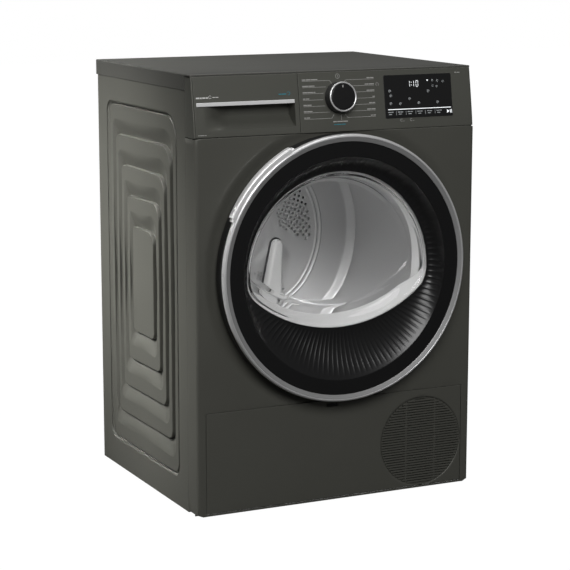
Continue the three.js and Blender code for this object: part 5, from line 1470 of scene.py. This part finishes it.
# ---------------------------------------------------------------- drum
@dataclass
class Drum:
    """The steel drum: shell with rolled beads, perforated rear wall and two lifters."""

    radius: float = 274.0
    front: float = 66.0
    rear: float = 468.0
    mouth: float = 236.0  # mouth's radius
    wall_front: float = 456.0  # depth of the rear wall's raised ring
    columns: int = 120  # cells round the rear wall
    fans: tuple[float, float] = (92.0, 172.0)  # radii between which the rear wall is pierced
    cell: float = 7.0  # radial size of the pierced cells

    BEADS = (
        (96, 0.0), (100, 2.2), (104, 0.0), (300, 0.0), (305, 2.2), (310, 0.0),
    )  # place along the shell and how far it sinks
    SOLID = (6, 30, 52, 60, 64, 68, 72, 76, 80, 86)  # radii of the rear wall's rings
    OUTER = (177, 179.5, 182, 184.5, 187, 189.5, 192, 194.5, 198, 225, 252, 256, 258, 260, 264, 268, 272.4)
    HUB = ((0.3, 459.0), (26, 459.0), (29, 460.2), (29, 462), (0.3, 462))
    SHAFT = ((0.3, 462), (12.5, 462), (12.5, 506), (11.5, 507), (0.3, 507))
    RIDGE = (
        (88.3, 0.03), (91, 0.3), (97, 0.62), (108, 0.88), (124, 0.98), (150, 1.0), (440, 1.0), (455.4, 1.0),
    )  # depth and share of the height
    PADDLE = (
        (7.5, 431.9), (5.0, 432.2), (2.6, 434.0), (0.9, 437.5), (0.0, 443.0), (0.0, 455.4),
    )  # inset and depth

    def shell(self) -> None:
        """Builds the shell: a rolled mouth, a tapered front wall and a cylinder with shallow beads."""
        radius, mouth, front = self.radius, self.mouth, self.front
        profile = [(mouth, front + 8), (mouth, front + 1.2), (mouth + 1.4, front), (radius - 5, front)]
        profile += [(radius - 1.4, front + 1.4), (radius, front + 5)]
        profile += [(radius - height, place) for place, height in self.BEADS]
        profile += [(radius, self.rear), (radius - 1, self.rear)]
        profile += [(radius - 1 - height, place) for place, height in reversed(self.BEADS)]
        profile += [(radius - 1, front + 6), (radius - 5, front + 1.2), (mouth + 2, front + 1.2)]
        profile += [(mouth + 1, front + 2), (mouth + 1, front + 8)]
        surface = revolved(profile, steps=160)
        make_piece("drum_cylinder", surface, DRUM_STEEL, Body.DRUM, ["drum_shell"], sharp=50)

    def wall_depth(self, radius: np.ndarray) -> np.ndarray:
        """Depth of the rear wall at a radius.

        A smooth step leads from the raised ring to the sunk middle, two narrow beads stand
        out as bell curves, and the rim slopes forwards to the shell.

        Args:
            radius: Distances from the drum's axis.

        Returns:
            Depth in mm.
        """
        middle = 4.0 * (1 - smooth((radius - 60) / 20))
        beads = sum(2.16 * np.exp(-(((radius - place) / 2.2) ** 2)) for place in (182, 192))
        rim = 13.0 * np.clip((radius - 256) / 16, 0, 1) ** 1.15
        return self.wall_front + middle - beads - rim

    def is_pierced(self, radius: np.ndarray, degrees: np.ndarray) -> np.ndarray:
        """Tells which cells lie in one of the four fans of holes.

        Args:
            radius: Cells' radii.
            degrees: Their angles.

        Returns:
            True for each cell in a fan.
        """
        turn = (degrees - 15) % 90
        turn = np.minimum(turn, 90 - turn)
        inner, outer = self.fans
        return (inner < radius) & (radius < outer) & (turn < 12 + (radius - inner) * 0.17)

    def rear_wall(self) -> None:
        """Builds the rear wall as rings of cells, some with a round hole, and the hub with its shaft."""
        inner, outer = self.fans
        radii = np.array([*self.SOLID, *np.arange(inner, outer, self.cell), *self.OUTER])
        angle = spokes(self.columns)
        rings = [placed(polar(r, angle, DOOR_AXIS), d) for r, d in zip(radii, self.wall_depth(radii))]
        surface = loft(rings, capped=False)
        row, column = np.divmod(np.arange(len(surface.quads)), self.columns)
        degrees = np.degrees(angle[column]) + 180 / self.columns
        holed = self.is_pierced((radii[row] + radii[row + 1]) / 2, degrees) & ((row + column) % 2 == 0)
        cells = self.holes(surface, holed, 0.45)
        quads = np.vstack([surface.quads[~holed], cells.quads])
        wall = facing(Surface(cells.points, quads, cells.caps), (0, -1, 0))
        piece = make_piece(
            "drum_back_wall", wall, DRUM_STEEL, Body.DRUM, ["drum_rear_wall"], sharp=50,
        )
        thicken(piece, SHEET)
        hub = merged([revolved(profile, steps=48) for profile in (self.HUB, self.SHAFT)])
        make_piece("drum_hub", hub, ZINC, Body.DRUM)

    def holes(self, surface: Surface, holed: np.ndarray, radius: float) -> Surface:
        """Cuts a round hole of eight sides in each chosen cell.

        Each side of the cell joins two of the hole's corners, and each corner of the cell
        makes a face with the two nearest.

        Args:
            surface: The ring grid.
            holed: Which of its quads get a hole.
            radius: The holes' radius as a share of the cell's lesser side.

        Returns:
            All the points with the holes' after them, and the faces round the holes.
        """
        cells = surface.quads[holed]
        corners = surface.points[cells]
        middle = corners.mean(1)
        along = corners[:, 1] - corners[:, 0]
        length = np.linalg.norm(along, axis=1)
        along /= length[:, None]
        across = corners[:, 3] - corners[:, 0]
        size = radius * np.minimum(length, np.linalg.norm(across, axis=1))
        across /= np.linalg.norm(across, axis=1, keepdims=True)
        turn = np.radians(-157.5 + 45.0 * np.arange(8))
        round_hole = np.cos(turn)[:, None] * along[:, None] + np.sin(turn)[:, None] * across[:, None]
        ring = middle[:, None] + size[:, None, None] * round_hole
        start = len(surface.points) + 8 * np.arange(len(cells))
        sides, wedges = [], []
        for side in range(4):
            a, b = cells[:, side], cells[:, (side + 1) % 4]
            near, far, following = (start + (2 * side + step) % 8 for step in range(3))
            sides.append(np.column_stack((a, b, far, near)))
            wedges.append(np.column_stack((b, following, far)))
        points = np.vstack([surface.points, ring.reshape(-1, 3)])
        return Surface(points, np.vstack(sides), list(np.vstack(wedges)))

    def lifters(self) -> None:
        """Builds the two lifters, each with a dark plate behind its paddle that stands 3 mm out round it as a
        painted shadow gap.
        """
        outline = self.paddle_outline()
        # A dark plate 3 mm wider than the paddle, behind it: painted shadow gap round the paddle.
        shadow_seat = slab(inset(outline, -3.0), 451.5, 455.6, 0.8)
        paddle = loft([placed(inset(outline, d), y) for d, y in self.PADDLE]).outward()
        lifter = merged([self.ridge(), paddle])
        for index, turn in ((1, 0.0), (2, 180.0)):
            make_piece(
                f"drum_lifter_seat_{index}", shadow_seat.turned(turn), DARK_PLASTIC, Body.DRUM,
            )
            make_piece(
                f"drum_lifter_body_{index}", lifter.turned(turn), LIGHT_PLASTIC, Body.DRUM,
                [f"drum_lifter_{index}"], sharp=48,
            )

    def ridge(self) -> Surface:
        """The ridge along the shell: a bell-shaped section with a sloped front end.

        Returns:
            A closed surface.
        """
        half, middle = 34.0, 52.0
        x = np.linspace(-half, half, 25)
        foot = DOOR_AXIS[1] - np.sqrt(272.2**2 - (middle + x) ** 2)
        bell = np.exp(-((x / 12.5) ** 2)) - math.exp(-((half / 12.5) ** 2))
        base = np.column_stack((middle + x, foot))[::-1]
        rings = []
        for depth, share in self.RIDGE:
            top = np.column_stack((middle + x, foot + 57 * bell * share + 0.6))
            rings.append(placed(np.vstack([top, base]), depth))
        return loft(rings).outward()

    def paddle_outline(self) -> np.ndarray:
        """The paddle's outline: two round ends, the upper one smaller, joined by straight sides.

        Returns:
            (n, 2) anticlockwise points in x and height.
        """
        foot, top = np.array([52.0, DOOR_AXIS[1] - 243.0]), np.array([82.0, DOOR_AXIS[1] - 28.0])
        foot_radius, top_radius = 30.0, 12.0
        way = top - foot
        lean = math.atan2(way[1], way[0])
        splay = math.acos((foot_radius - top_radius) / np.linalg.norm(way))
        upper = np.linspace(lean + splay, lean - splay, 25)
        lower = np.linspace(lean - splay, lean - 2 * math.pi + splay, 25)
        return np.vstack([polar(top_radius, upper, top), polar(foot_radius, lower, foot)])[::-1]

    def build(self) -> None:
        """Builds the drum."""
        self.shell()
        self.rear_wall()
        self.lifters()


@dataclass
class Throat:
    """Smooth light lining of the way from the loading opening to the drum."""

    inner: float = 196.0  # its bore's radius
    front: float = 24.6
    rear: float = 55.5

    def build(self) -> None:
        """Builds the lining, a thin ring against the bulkhead's bore."""
        front, rear = self.front, self.rear
        line = [(-1.2, front), (3.5, front), (-0.2, front + 2), (-0.2, rear), (-1.2, rear)]
        profile = rounded_profile([(self.inner + out, depth) for out, depth in line], 0.3, 2)
        lining = revolved(profile, steps=160)
        make_piece("throat_lining", lining, LIGHT_PLASTIC, Body.CABINET)


# ---------------------------------------------------------------- controls
@dataclass
class Knob:
    """The programme knob: a flared body, a bright ring and a black cap."""

    radius: float = 28.5
    length: float = 21.0  # how far the knob stands out
    base: float = 30.0  # radius at its foot
    cap: float = 24.5  # cap's radius

    def build(self) -> None:
        """Builds the knob."""
        front, radius, base, cap = -self.length, self.radius, self.base, self.cap
        body = [
            (0.3, front + 2.2), (radius - 3.4, front + 2.2), (radius - 3.4, front + 3.0),
            (radius - 0.1, front + 3.0), (base, -1.2), (base - 3, -1.2), (base - 4, front + 6),
            (8, front + 6), (8, -4), (5.5, -4), (5.5, 19.5), (0.3, 19.5),
        ]
        side = self.grooved(revolved(rounded_profile(body, 0.5, 2), (0.0, 0.0), 240))
        self.piece("knob_side", side, DARK_SATIN, "black_satin", ["knob_body"])
        ring = [(-3.0, 2.7), (-3.0, 0.8), (-1.6, 0.1), (-0.3, 0.7), (0.0, 2.7)]
        trim = rounded_profile([(radius + out, front + back) for out, back in ring], 0.5)
        self.piece("knob_trim", revolved(trim, (0.0, 0.0)), CHROME, "chrome", ["knob_ring"])
        line = [(cap - 6, 0.6), (cap - 1.2, 0.8), (cap - 0.3, 1.2), (cap, 2.1), (0.3, 2.1)]
        face = [(0.3, front + 0.5), *[(reach, front + back) for reach, back in line]]
        self.piece("knob_cap", revolved(face, (0.0, 0.0)), BLACK_GLOSS, "black_gloss", [])
        outline = rounded_rectangle((-0.7, cap - 7), (0.7, cap - 2.5), 0.6, arc=3)
        self.piece("knob_mark", slab(outline, front + 0.35, front + 0.9, 0.1), PRINT_WHITE, "chrome", [])

    def grooved(self, surface: Surface) -> Surface:
        """Sinks fine upright grip grooves into the body's side.

        Args:
            surface: The body, which is changed.

        Returns:
            The surface.
        """
        x, depth, z = surface.points.T
        side = (np.hypot(x, z) > self.radius - 2) & (depth > -self.length + 3.4) & (depth < -2)
        sunk = np.cos(60 * np.arctan2(z, x)) > 0
        surface.points[:, [0, 2]] *= np.where(side & sunk, 1 - 0.012, 1.0)[:, None]
        return surface

    def piece(
        self, name: str, surface: Surface, finish: Finish, slot: str, replaces: Sequence[str],
    ) -> None:
        """Makes one piece of the knob on the fascia."""
        make_piece(name, on_face(surface, *KNOB_PLACE), finish, Body.KNOB, replaces)


DASH_GAP = 0.9  # between two bars of a label, in mm


@dataclass
class Print:
    """Thin marks on a leaning face, such as bars, discs and rings, gathered by finish.

    Attributes:
        origin: Where (0, 0) lies in x and height.
        lift: How far the marks' fronts stand before the face.
        thick: Their thickness.
        plane: Whether they lie on the flat plane that touches the face at the origin.
        marks: The marks so far.
    """

    origin: tuple[float, float]
    lift: float = 0.12
    thick: float = 0.25
    plane: bool = False
    marks: list[Surface] = field(default_factory=list)

    def plate(self, outline: np.ndarray) -> None:
        """Adds a flat mark."""
        rings = [placed(outline, -self.lift), placed(outline, -self.lift + self.thick)]
        self.marks.append(loft(rings).outward())

    def bar(self, start: Sequence[float], end: Sequence[float], width: float = 0.8) -> None:
        """Adds a straight stroke.

        Args:
            start: One end.
            end: The other end.
            width: Its width.
        """
        a, b = np.array(start, float), np.array(end, float)
        along = (b - a) / max(float(np.linalg.norm(b - a)), 1e-6)
        side = np.array([-along[1], along[0]]) * width / 2
        self.plate(np.array([a - side, b - side, b + side, a + side]))

    def disc(self, centre: Sequence[float], radius: float, sides: int = 16) -> None:
        """Adds a round dot."""
        self.plate(polar(radius, spokes(sides), centre))

    def arc(
        self, centre: Sequence[float], radius: float, width: float = 0.7, start: float = 0.0,
        end: float = 360.0,
    ) -> None:
        """Adds a round stroke.

        Args:
            centre: Its centre.
            radius: Its middle line's radius.
            width: Its width.
            start: Angle in degrees at which it starts.
            end: Angle at which it ends, anticlockwise.
        """
        angle = np.radians(np.linspace(start, end, 29))
        outer, inner = (polar(radius + side * width / 2, angle, centre) for side in (1, -1))
        near, far = -self.lift, -self.lift + self.thick
        corners = ((outer, near), (inner, near), (inner, far), (outer, far))
        lines = [placed(line, depth) for line, depth in corners]
        sections = list(np.stack(lines, 1))
        self.marks.append(loft(sections).outward())

    def dashes(self, start: Sequence[float], lengths: Sequence[float], height: float = 1.7) -> None:
        """Adds a row of short bars, such as stand for a label.

        Args:
            start: Left end of the row.
            lengths: The bars' lengths.
            height: Their height.
        """
        x, z = start
        for length in lengths:
            self.bar((x, z), (x + length, z), height)
            x += length + DASH_GAP

    def piece(self, name: str, finish: Finish, body: Body = Body.CABINET) -> None:
        """Makes the piece that holds all the marks, each on the face at its own height.

        Args:
            name: Its name.
            finish: Its finish.
            body: Body that it rides on.
        """
        surface = merged(self.marks)
        x, proud, z = surface.points.T
        height = self.origin[1] + z
        face = fascia_face(self.origin[1]) + math.tan(FACE_TILT) * z if self.plane else fascia_face(height)
        points = np.column_stack((x + self.origin[0], face + proud, height))
        make_piece(name, Surface(points, surface.quads, surface.caps), finish, body)


@dataclass
class ControlPrint:
    """The marks printed on the fascia: programme lines with their labels, and small symbols."""

    pitch: float = 11.8  # pitch of the programme lines
    top: float = 32.5
    left: float = -75.5
    right: float = 78.0

    LABELS = (
        ((8, 9, 14), (5, 9)), ((12, 13), (8, 11)), ((9, 12, 4), (7, 9)), ((5, 7), (5,)),
        ((7, 9), (6, 6)), ((6, 11), (9, 8)), ((4, 7), (5, 5)),
    )  # lengths of the bars on each left and right line

    def lines(self) -> Print:
        """Seven programme lines on each side of the knob, the outer ones hooked towards it.

        Returns:
            The marks.
        """
        made = Print(KNOB_PLACE)
        for index in range(7):
            z = self.top - self.pitch * index
            for side, far in ((-1, self.left), (1, self.right)):
                if index in (0, 6):
                    hook = -6.5 if index == 0 else 6.5
                    made.bar((far, z), (side * 17.5, z), 0.65)
                    made.bar((side * 17.5, z), (side * 12.0, z + hook), 0.65)
                else:
                    made.bar((far, z), (side * math.sqrt(33.0**2 - min(abs(z), 26) ** 2), z), 0.65)
        made.bar((3.5, -32.5), (3.5, -42), 0.65)
        return made

    def labels(self) -> Print:
        """Short bars for the labels that stand on the programme lines.

        Returns:
            The marks.
        """
        made = Print(KNOB_PLACE)
        for index, (left, right) in enumerate(self.LABELS):
            z = self.top - self.pitch * index + 2.4
            made.dashes((self.left, z), left)
            made.dashes((self.right - sum(right) - DASH_GAP * (len(right) - 1), z), right)
        made.dashes((-15, -45), (8, 12, 10), 1.9)
        made.dashes((-295, -59.0), (3, 8, 4), 1.3)
        made.dashes((258, 39), (5, 6), 1.6)
        return made

    def symbols(self) -> Print:
        """A power symbol above the knob, two small symbols below the display and one at the right.

        Returns:
            The marks.
        """
        made = Print(KNOB_PLACE)
        made.arc((0.5, 40.0), 4.2, 0.75)
        made.bar((0.5, 38.2), (0.5, 41.9), 0.75)
        for x in (134.0, 155.5):
            made.arc((x, -48.0), 2.3, 0.8, 40, 320)
            made.bar((x + 3.4, -50.0), (x + 6.2, -50.0), 0.8)
        made.arc((85.0, 22.0), 3.0, 0.6, -60, 240)
        return made

    def accents(self) -> Print:
        """Blue-green marks under the knob.

        Returns:
            The marks.
        """
        made = Print(KNOB_PLACE)
        made.dashes((-13, -50.5), (5, 10, 8), 1.6)
        return made

    def drawer_marks(self) -> None:
        """Marks on the drawer's front: a label with a symbol at the left, a blue-green one at the right."""
        label = Print((-291.0, 803.5))
        label.dashes((0, 0), (7, 4, 6, 5), 2.6)
        label.arc((28.5, 1.2), 2.6, 0.8, 30, 330)
        label.dashes((33.5, 0.4), (5, 6), 1.3)
        label.piece("drawer_label", PRINT_WHITE, Body.DRAWER)
        accent = Print((-122.0, 805.0))
        accent.dashes((0, 0), (6, 9), 1.8)
        accent.arc((20.5, 1.0), 3.0, 0.8, -120, 160)
        accent.piece("drawer_accent", PRINT_TEAL, Body.DRAWER)

    def build(self) -> None:
        """Builds all the printed marks."""
        self.lines().piece("programme_lines", PRINT_GREY)
        self.labels().piece("programme_labels", PRINT_GREY)
        self.symbols().piece("fascia_symbols", PRINT_GREY)
        self.accents().piece("fascia_accents", PRINT_TEAL)
        self.drawer_marks()


@dataclass
class Display:
    """The black display with its lit time, status symbols and touch strip."""

    place: tuple[float, float] = (178.0, 791.6)  # its middle, in x and height
    half: tuple[float, float] = (75.0, 41.5)
    thick: float = 4.0  # pane's thickness
    proud: float = 0.7  # how far the pane stands before the fascia

    SEGMENTS = {"1": "bc", "0": "abcdef"}
    SMALL_RINGS = ((33.0, 28.5), (44.0, 27.5), (56.0, 26.0), (33.0, 18.0), (42.0, 17.0))
    BARRED_RINGS = (
        (-63.0, 11.0), (-61.0, 2.0), (-62.0, -13.0), (-41.0, -14.0),
        (-20.0, -5.0), (0.0, -13.5), (22.0, 8.5), (42.0, -13.5),
    )

    def glass(self) -> None:
        """Builds the black pane."""
        outline = rounded_rectangle((-self.half[0], -self.half[1]), self.half, 2.5, arc=5)
        pane = on_face(slab(outline, -self.proud, self.thick - self.proud, 0.5), *self.place)
        make_piece("display_pane", pane, BLACK_GLOSS, Body.CABINET, ["display_window"])

    def digit(self, made: Print, glyph: str, x: float, z: float, size: float = 5.6) -> None:
        """Adds a seven-segment digit.

        Args:
            made: Marks that it joins.
            glyph: The digit.
            x: Its left side.
            z: Its middle.
            size: Length of a segment.
        """
        w, cut = size * 0.8, 0.5  # width, and how much each stroke's ends are cut short
        strokes = {
            "a": ((x, z + size), (x + w, z + size)), "b": ((x + w, z + size), (x + w, z)),
            "c": ((x + w, z), (x + w, z - size)), "d": ((x, z - size), (x + w, z - size)),
            "e": ((x, z), (x, z - size)), "f": ((x, z + size), (x, z)),
        }
        for name in self.SEGMENTS[glyph]:
            a, b = (np.array(point, float) for point in strokes[name])
            pull = (b - a) / np.linalg.norm(b - a) * cut
            made.bar(a + pull, b - pull, 0.95)

    def sheet(self) -> Print:
        """Starts a set of marks for the pane."""
        return Print(self.place, lift=self.proud + 0.12, thick=0.2, plane=True)

    def time(self) -> None:
        """Builds the lit digits and the round status light beside them."""
        lit = self.sheet()
        self.digit(lit, "1", -22.5, 23.5)
        lit.disc((-14.2, 26.0), 0.75, 10)
        lit.disc((-14.2, 21.0), 0.75, 10)
        self.digit(lit, "1", -13.5, 23.5)
        self.digit(lit, "0", -4.0, 23.5)
        lit.disc((21.5, 29.0), 1.5)
        lit.bar((-69.0, -24.4), (71.0, -24.4), 1.3)
        lit.plate(np.array([[62.0, -35.2], [67.4, -31.8], [62.0, -28.4]]))
        lit.bar((69.6, -35.0), (69.6, -28.6), 1.5)
        lit.bar((72.3, -35.0), (72.3, -28.6), 1.1)
        lit.piece("display_lit", LIT_WHITE)

    def symbols(self) -> None:
        """Builds the dimmer symbols and the touch strip's labels."""
        dim = self.sheet()
        for place in self.SMALL_RINGS:
            dim.arc(place, 1.7, 0.7, 20, 340)
        for x, z in self.BARRED_RINGS:
            dim.arc((x, z), 2.1, 0.8, -30, 290)
            dim.bar((x - 1.0, z), (x + 1.0, z), 0.8)
        for index in range(6):
            x = -69.0 + index * 21.5
            dim.dashes((x, -29.6), (5.5, 5.0), 1.3)
            dim.dashes((x + 1.5, -33.6), (6.5,), 1.3)
            if index:
                dim.bar((x - 3.6, -35.5), (x - 3.6, -28.0), 0.6)
        dim.piece("display_symbols", LIT_GREY)

    def build(self) -> None:
        """Builds the display."""
        self.glass()
        self.time()
        self.symbols()


@dataclass
class DrawerFront:
    """The water drawer's front with its finger scoop and bright strip."""

    left: float = -295.4
    right: float = -80.4
    bottom: float = 730.6
    top: float = 842.4
    scoop_left: float = -278.0  # scoop's left edge
    scoop_right: float = -89.5  # its right edge
    scoop_bottom: float = 744.0  # its lower edge
    scoop_top: float = 787.2  # its upper edge
    scoop_depth: float = 34.0  # depth of its floor
    rise: float = 22.0  # height of its lower ramp
    ramp: float = 62.0  # length of its left ramp
    strip: tuple[float, float, float, float] = (-291.0, -90.4, 787.8, 794.7)  # its ends, then its edges

    def scoop_floor(self, x: np.ndarray, z: np.ndarray) -> np.ndarray:
        """Depth of the scoop behind the face: soft ramps from the left and from below, steep walls elsewhere.

        Each wall is a smooth step of its distance from the scoop's edge.

        Args:
            x: Places.
            z: Heights.

        Returns:
            Depth below the face, zero outside the scoop.
        """
        left = smooth((x - self.scoop_left) / self.ramp)
        right = smooth((self.scoop_right - x) / 1.2)
        low = np.clip((z - self.scoop_bottom) / self.rise, 0, 1) ** 0.8
        high = smooth(self.scoop_top + 3.0 - z)
        return (self.scoop_depth - fascia_face(z)) * left * right * low * high

    def grid(self) -> tuple[np.ndarray, np.ndarray]:
        """Grid lines across the front, close together on the scoop's ramps and walls.

        Returns:
            The upright and the level lines.
        """
        ramp_end, wall = self.scoop_left + self.ramp, self.scoop_right - 1.2
        rise_end, lintel = self.scoop_bottom + self.rise, self.scoop_top + 3
        spans_x = [
            (self.left + 2, self.scoop_left, 5), (self.scoop_left, ramp_end, 22), (ramp_end, wall - 0.2, 18),
            (wall, self.scoop_right, 5), (-85.0, -85.0, 1),
        ]
        spans_z = [
            (733, self.scoop_bottom, 5), (self.scoop_bottom, rise_end, 14), (rise_end + 2, lintel - 2, 7),
            (lintel - 1, lintel, 4), (lintel + 1, 839, 14),
        ]
        lines_x, lines_z = (
            sorted({place for span in spans for place in np.linspace(*span)}) for spans in (spans_x, spans_z)
        )
        columns = edge_lines(self.left, self.right, lines_x, Edge(0.9, 24.0))
        return columns, edge_lines(self.bottom, self.top, lines_z, Edge(0.9, 20.0))

    def build(self) -> None:
        """Builds the front and the strip."""
        surface = panel_grid(*self.grid(), fascia_face)
        x, depth, z = surface.points.T
        surface.points[:, 1] = np.minimum(depth + self.scoop_floor(x, z), self.scoop_depth + 1.4)
        piece = make_piece(
            "drawer_face", surface, FASCIA_PLASTIC, Body.DRAWER, ["drawer_front"], sharp=40,
        )
        thicken(piece, 1.1)
        self.trim()

    def trim(self) -> None:
        """Builds the bright strip over the scoop's upper edge, a little smaller at both ends."""
        x0, x1, z0, z1 = self.strip
        d0, d1 = float(fascia_face(z0)), float(fascia_face(z1))
        section = rounded_profile([(d0 - 1.6, z0), (d0 + 1.6, z0), (d1 + 1.2, z1), (d1 - 1.5, z1)], 0.9)
        middle = section.mean(0)
        small = middle + (section - middle) * 0.93
        line = [(small, x0 - 0.2), (section, x0), (section, x1), (small, x1 + 0.2)]
        trim = loft([placed(outline, x, Axis.X) for outline, x in line]).outward()
        make_piece("drawer_trim", trim, CHROME_BRIGHT, Body.DRAWER, ["drawer_strip"])


# ---------------------------------------------------------------- studio
@dataclass
class Studio:
    """Floor, lights, background and camera.

    Attributes:
        eye: Camera's place in mm, measured back from the front panel's face.
        azimuth: Degrees that the camera looks to the right of straight on.
        dip: Degrees that it looks down.
        lens: Focal length in mm on a sensor 36 mm wide.
        shift: Picture's shift in x and y.
    """

    eye: tuple[float, float, float] = (-1704.3, -3264.9, 1110.4)
    azimuth: float = 25.807
    dip: float = 10.887
    lens: float = 122.38
    shift: tuple[float, float] = (0.0091, 0.0281)

    def build(self) -> None:
        """Sets up the whole studio."""
        self.camera()
        self.floor()
        self.lamps()
        self.background()

    def camera(self) -> None:
        """Adds the camera."""
        data = bpy.data.cameras.new("camera")
        data.sensor_width = 36
        data.lens = self.lens
        data.shift_x, data.shift_y = self.shift
        data.clip_end = 50
        camera = bpy.data.objects.new("camera", data)
        camera.location = (self.eye[0] * MM, (self.eye[1] + FRONT) * MM, self.eye[2] * MM)
        camera.rotation_euler = (math.radians(90 - self.dip), 0, -math.radians(self.azimuth))
        bpy.context.scene.collection.objects.link(camera)
        bpy.context.scene.camera = camera

    def floor(self) -> None:
        """Adds a pale floor just under the feet."""
        mesh = bpy.data.meshes.new("floor")
        corners = [(x, y, 0) for x, y in ((-12, -12), (12, -12), (12, 12), (-12, 12))]
        mesh.from_pydata(corners, [], [(0, 1, 2, 3)])
        floor = bpy.data.objects.new("floor", mesh)
        floor.location.z = -0.0004
        bpy.context.scene.collection.objects.link(floor)
        mesh.materials.append(self.floor_material())

    def floor_material(self) -> bpy.types.Material:
        """Makes a dark matt floor that is white towards the camera and dim in mirrors.

        Returns:
            The material.
        """
        made = Finish("pale_floor", (0.05, 0.05, 0.05), 0.95, mottle=0.02, grain=0.0).material()
        tree = made.node_tree
        matt = feed(tree, tree.nodes["Principled BSDF"], {"Specular IOR Level": 0.0}).outputs["BSDF"]
        path = add_node(tree, "LightPath")
        white = add_node(tree, "Emission", {"Strength": 1.05}).outputs["Emission"]
        share = tree.nodes.new("ShaderNodeMath")
        share.operation = "MULTIPLY"
        feed(tree, share, {0: path.outputs["Is Camera Ray"], 1: 0.96})
        seen = add_node(tree, "MixShader", {0: share.outputs["Value"], 1: matt, 2: white}).outputs["Shader"]
        dark = add_node(tree, "BsdfDiffuse", {"Color": (0.06, 0.06, 0.06, 1.0)}).outputs["BSDF"]
        mirrored = add_node(tree, "MixShader", {0: path.outputs["Is Glossy Ray"], 1: seen, 2: dark})
        feed(tree, tree.nodes["Material Output"], {"Surface": mirrored.outputs["Shader"]})
        return made

    def lamp(
        self, name: str, place: Sequence[float], aim: Sequence[float], size: tuple[float, float],
        power: float, spread: float = 180.0,
    ) -> None:
        """Adds a soft rectangular lamp.

        Args:
            name: Its name.
            place: Where it stands, in metres.
            aim: Point that it faces.
            size: Width and height in metres.
            power: Watts.
            spread: Angle of its beam in degrees.
        """
        data = bpy.data.lights.new(name, "AREA")
        data.shape = "RECTANGLE"
        data.spread = math.radians(spread)
        data.size, data.size_y = size
        data.energy = power
        lamp = bpy.data.objects.new(name, data)
        lamp.location = place
        x, y, z = np.array(aim, float) - np.array(place, float)
        lamp.rotation_euler = (math.atan2(math.hypot(x, y), -z), 0, math.atan2(x, -y) + math.pi)
        bpy.context.scene.collection.objects.link(lamp)

    def lamps(self) -> None:
        """Adds the key, left and top lamps and the one in the drum."""
        self.lamp("key", (-1.2, -3.4, 2.6), (0, 0, 0.5), (2.2, 1.6), 90)
        self.lamp("left", (-2.6, 1.1, 2.7), (-0.3, 0.12, 0.45), (0.4, 0.4), 3.5, 17.0)
        self.lamp("top", (0.2, 0.2, 3.4), (0, 0, 0.5), (2.6, 2.6), 42)
        self.drum_lamp()

    def drum_lamp(self) -> None:
        """Adds the small lamp that lights the drum's inside."""
        data = bpy.data.lights.new("drum", "POINT")
        data.shadow_soft_size = 0.05
        data.energy = 2.2
        lamp = bpy.data.objects.new("drum", data)
        lamp.location = (-0.13, (240.0 + FRONT) * MM, 0.65)
        lamp.visible_camera = lamp.visible_glossy = lamp.visible_transmission = False
        bpy.context.scene.collection.objects.link(lamp)

    def background(self) -> None:
        """Makes the world white towards the camera and through glass, and softer as a light."""
        world = bpy.data.worlds.new("studio")
        bpy.context.scene.world = world
        world.use_nodes = True
        tree = world.node_tree
        tree.nodes.clear()
        path = add_node(tree, "LightPath")
        seen, light, shine = (
            add_node(tree, "Background", {"Color": (1, 1, 1, 1), "Strength": strength}).outputs["Background"]
            for strength in (1.0, 0.09, 0.12)
        )
        dim = add_node(tree, "MixShader", {0: path.outputs["Is Glossy Ray"], 1: light, 2: shine})
        mix = add_node(
            tree, "MixShader", {0: path.outputs["Is Camera Ray"], 1: dim.outputs["Shader"], 2: seen},
        )
        add_node(tree, "OutputWorld", {"Surface": mix.outputs["Shader"]})


def main() -> None:
    """Builds the whole scene."""
    finish_carried_nodes()
    for side in (-1, 1):
        SidePanel(side).build()
    TopPanel().build()
    FrontPanel().build()
    Fascia().build()
    ServiceFlap().build()
    DrawerFront().build()
    Knob().build()
    Display().build()
    ControlPrint().build()
    window = Window()
    DoorRing().build()
    DoorFrame(window).build()
    DoorGlass(window).build()
    InnerFrame(window).build()
    Throat().build()
    Drum().build()
    Studio().build()
    bpy.context.scene.view_settings.view_transform = "Standard"


if __name__ == "__main__":
    main()
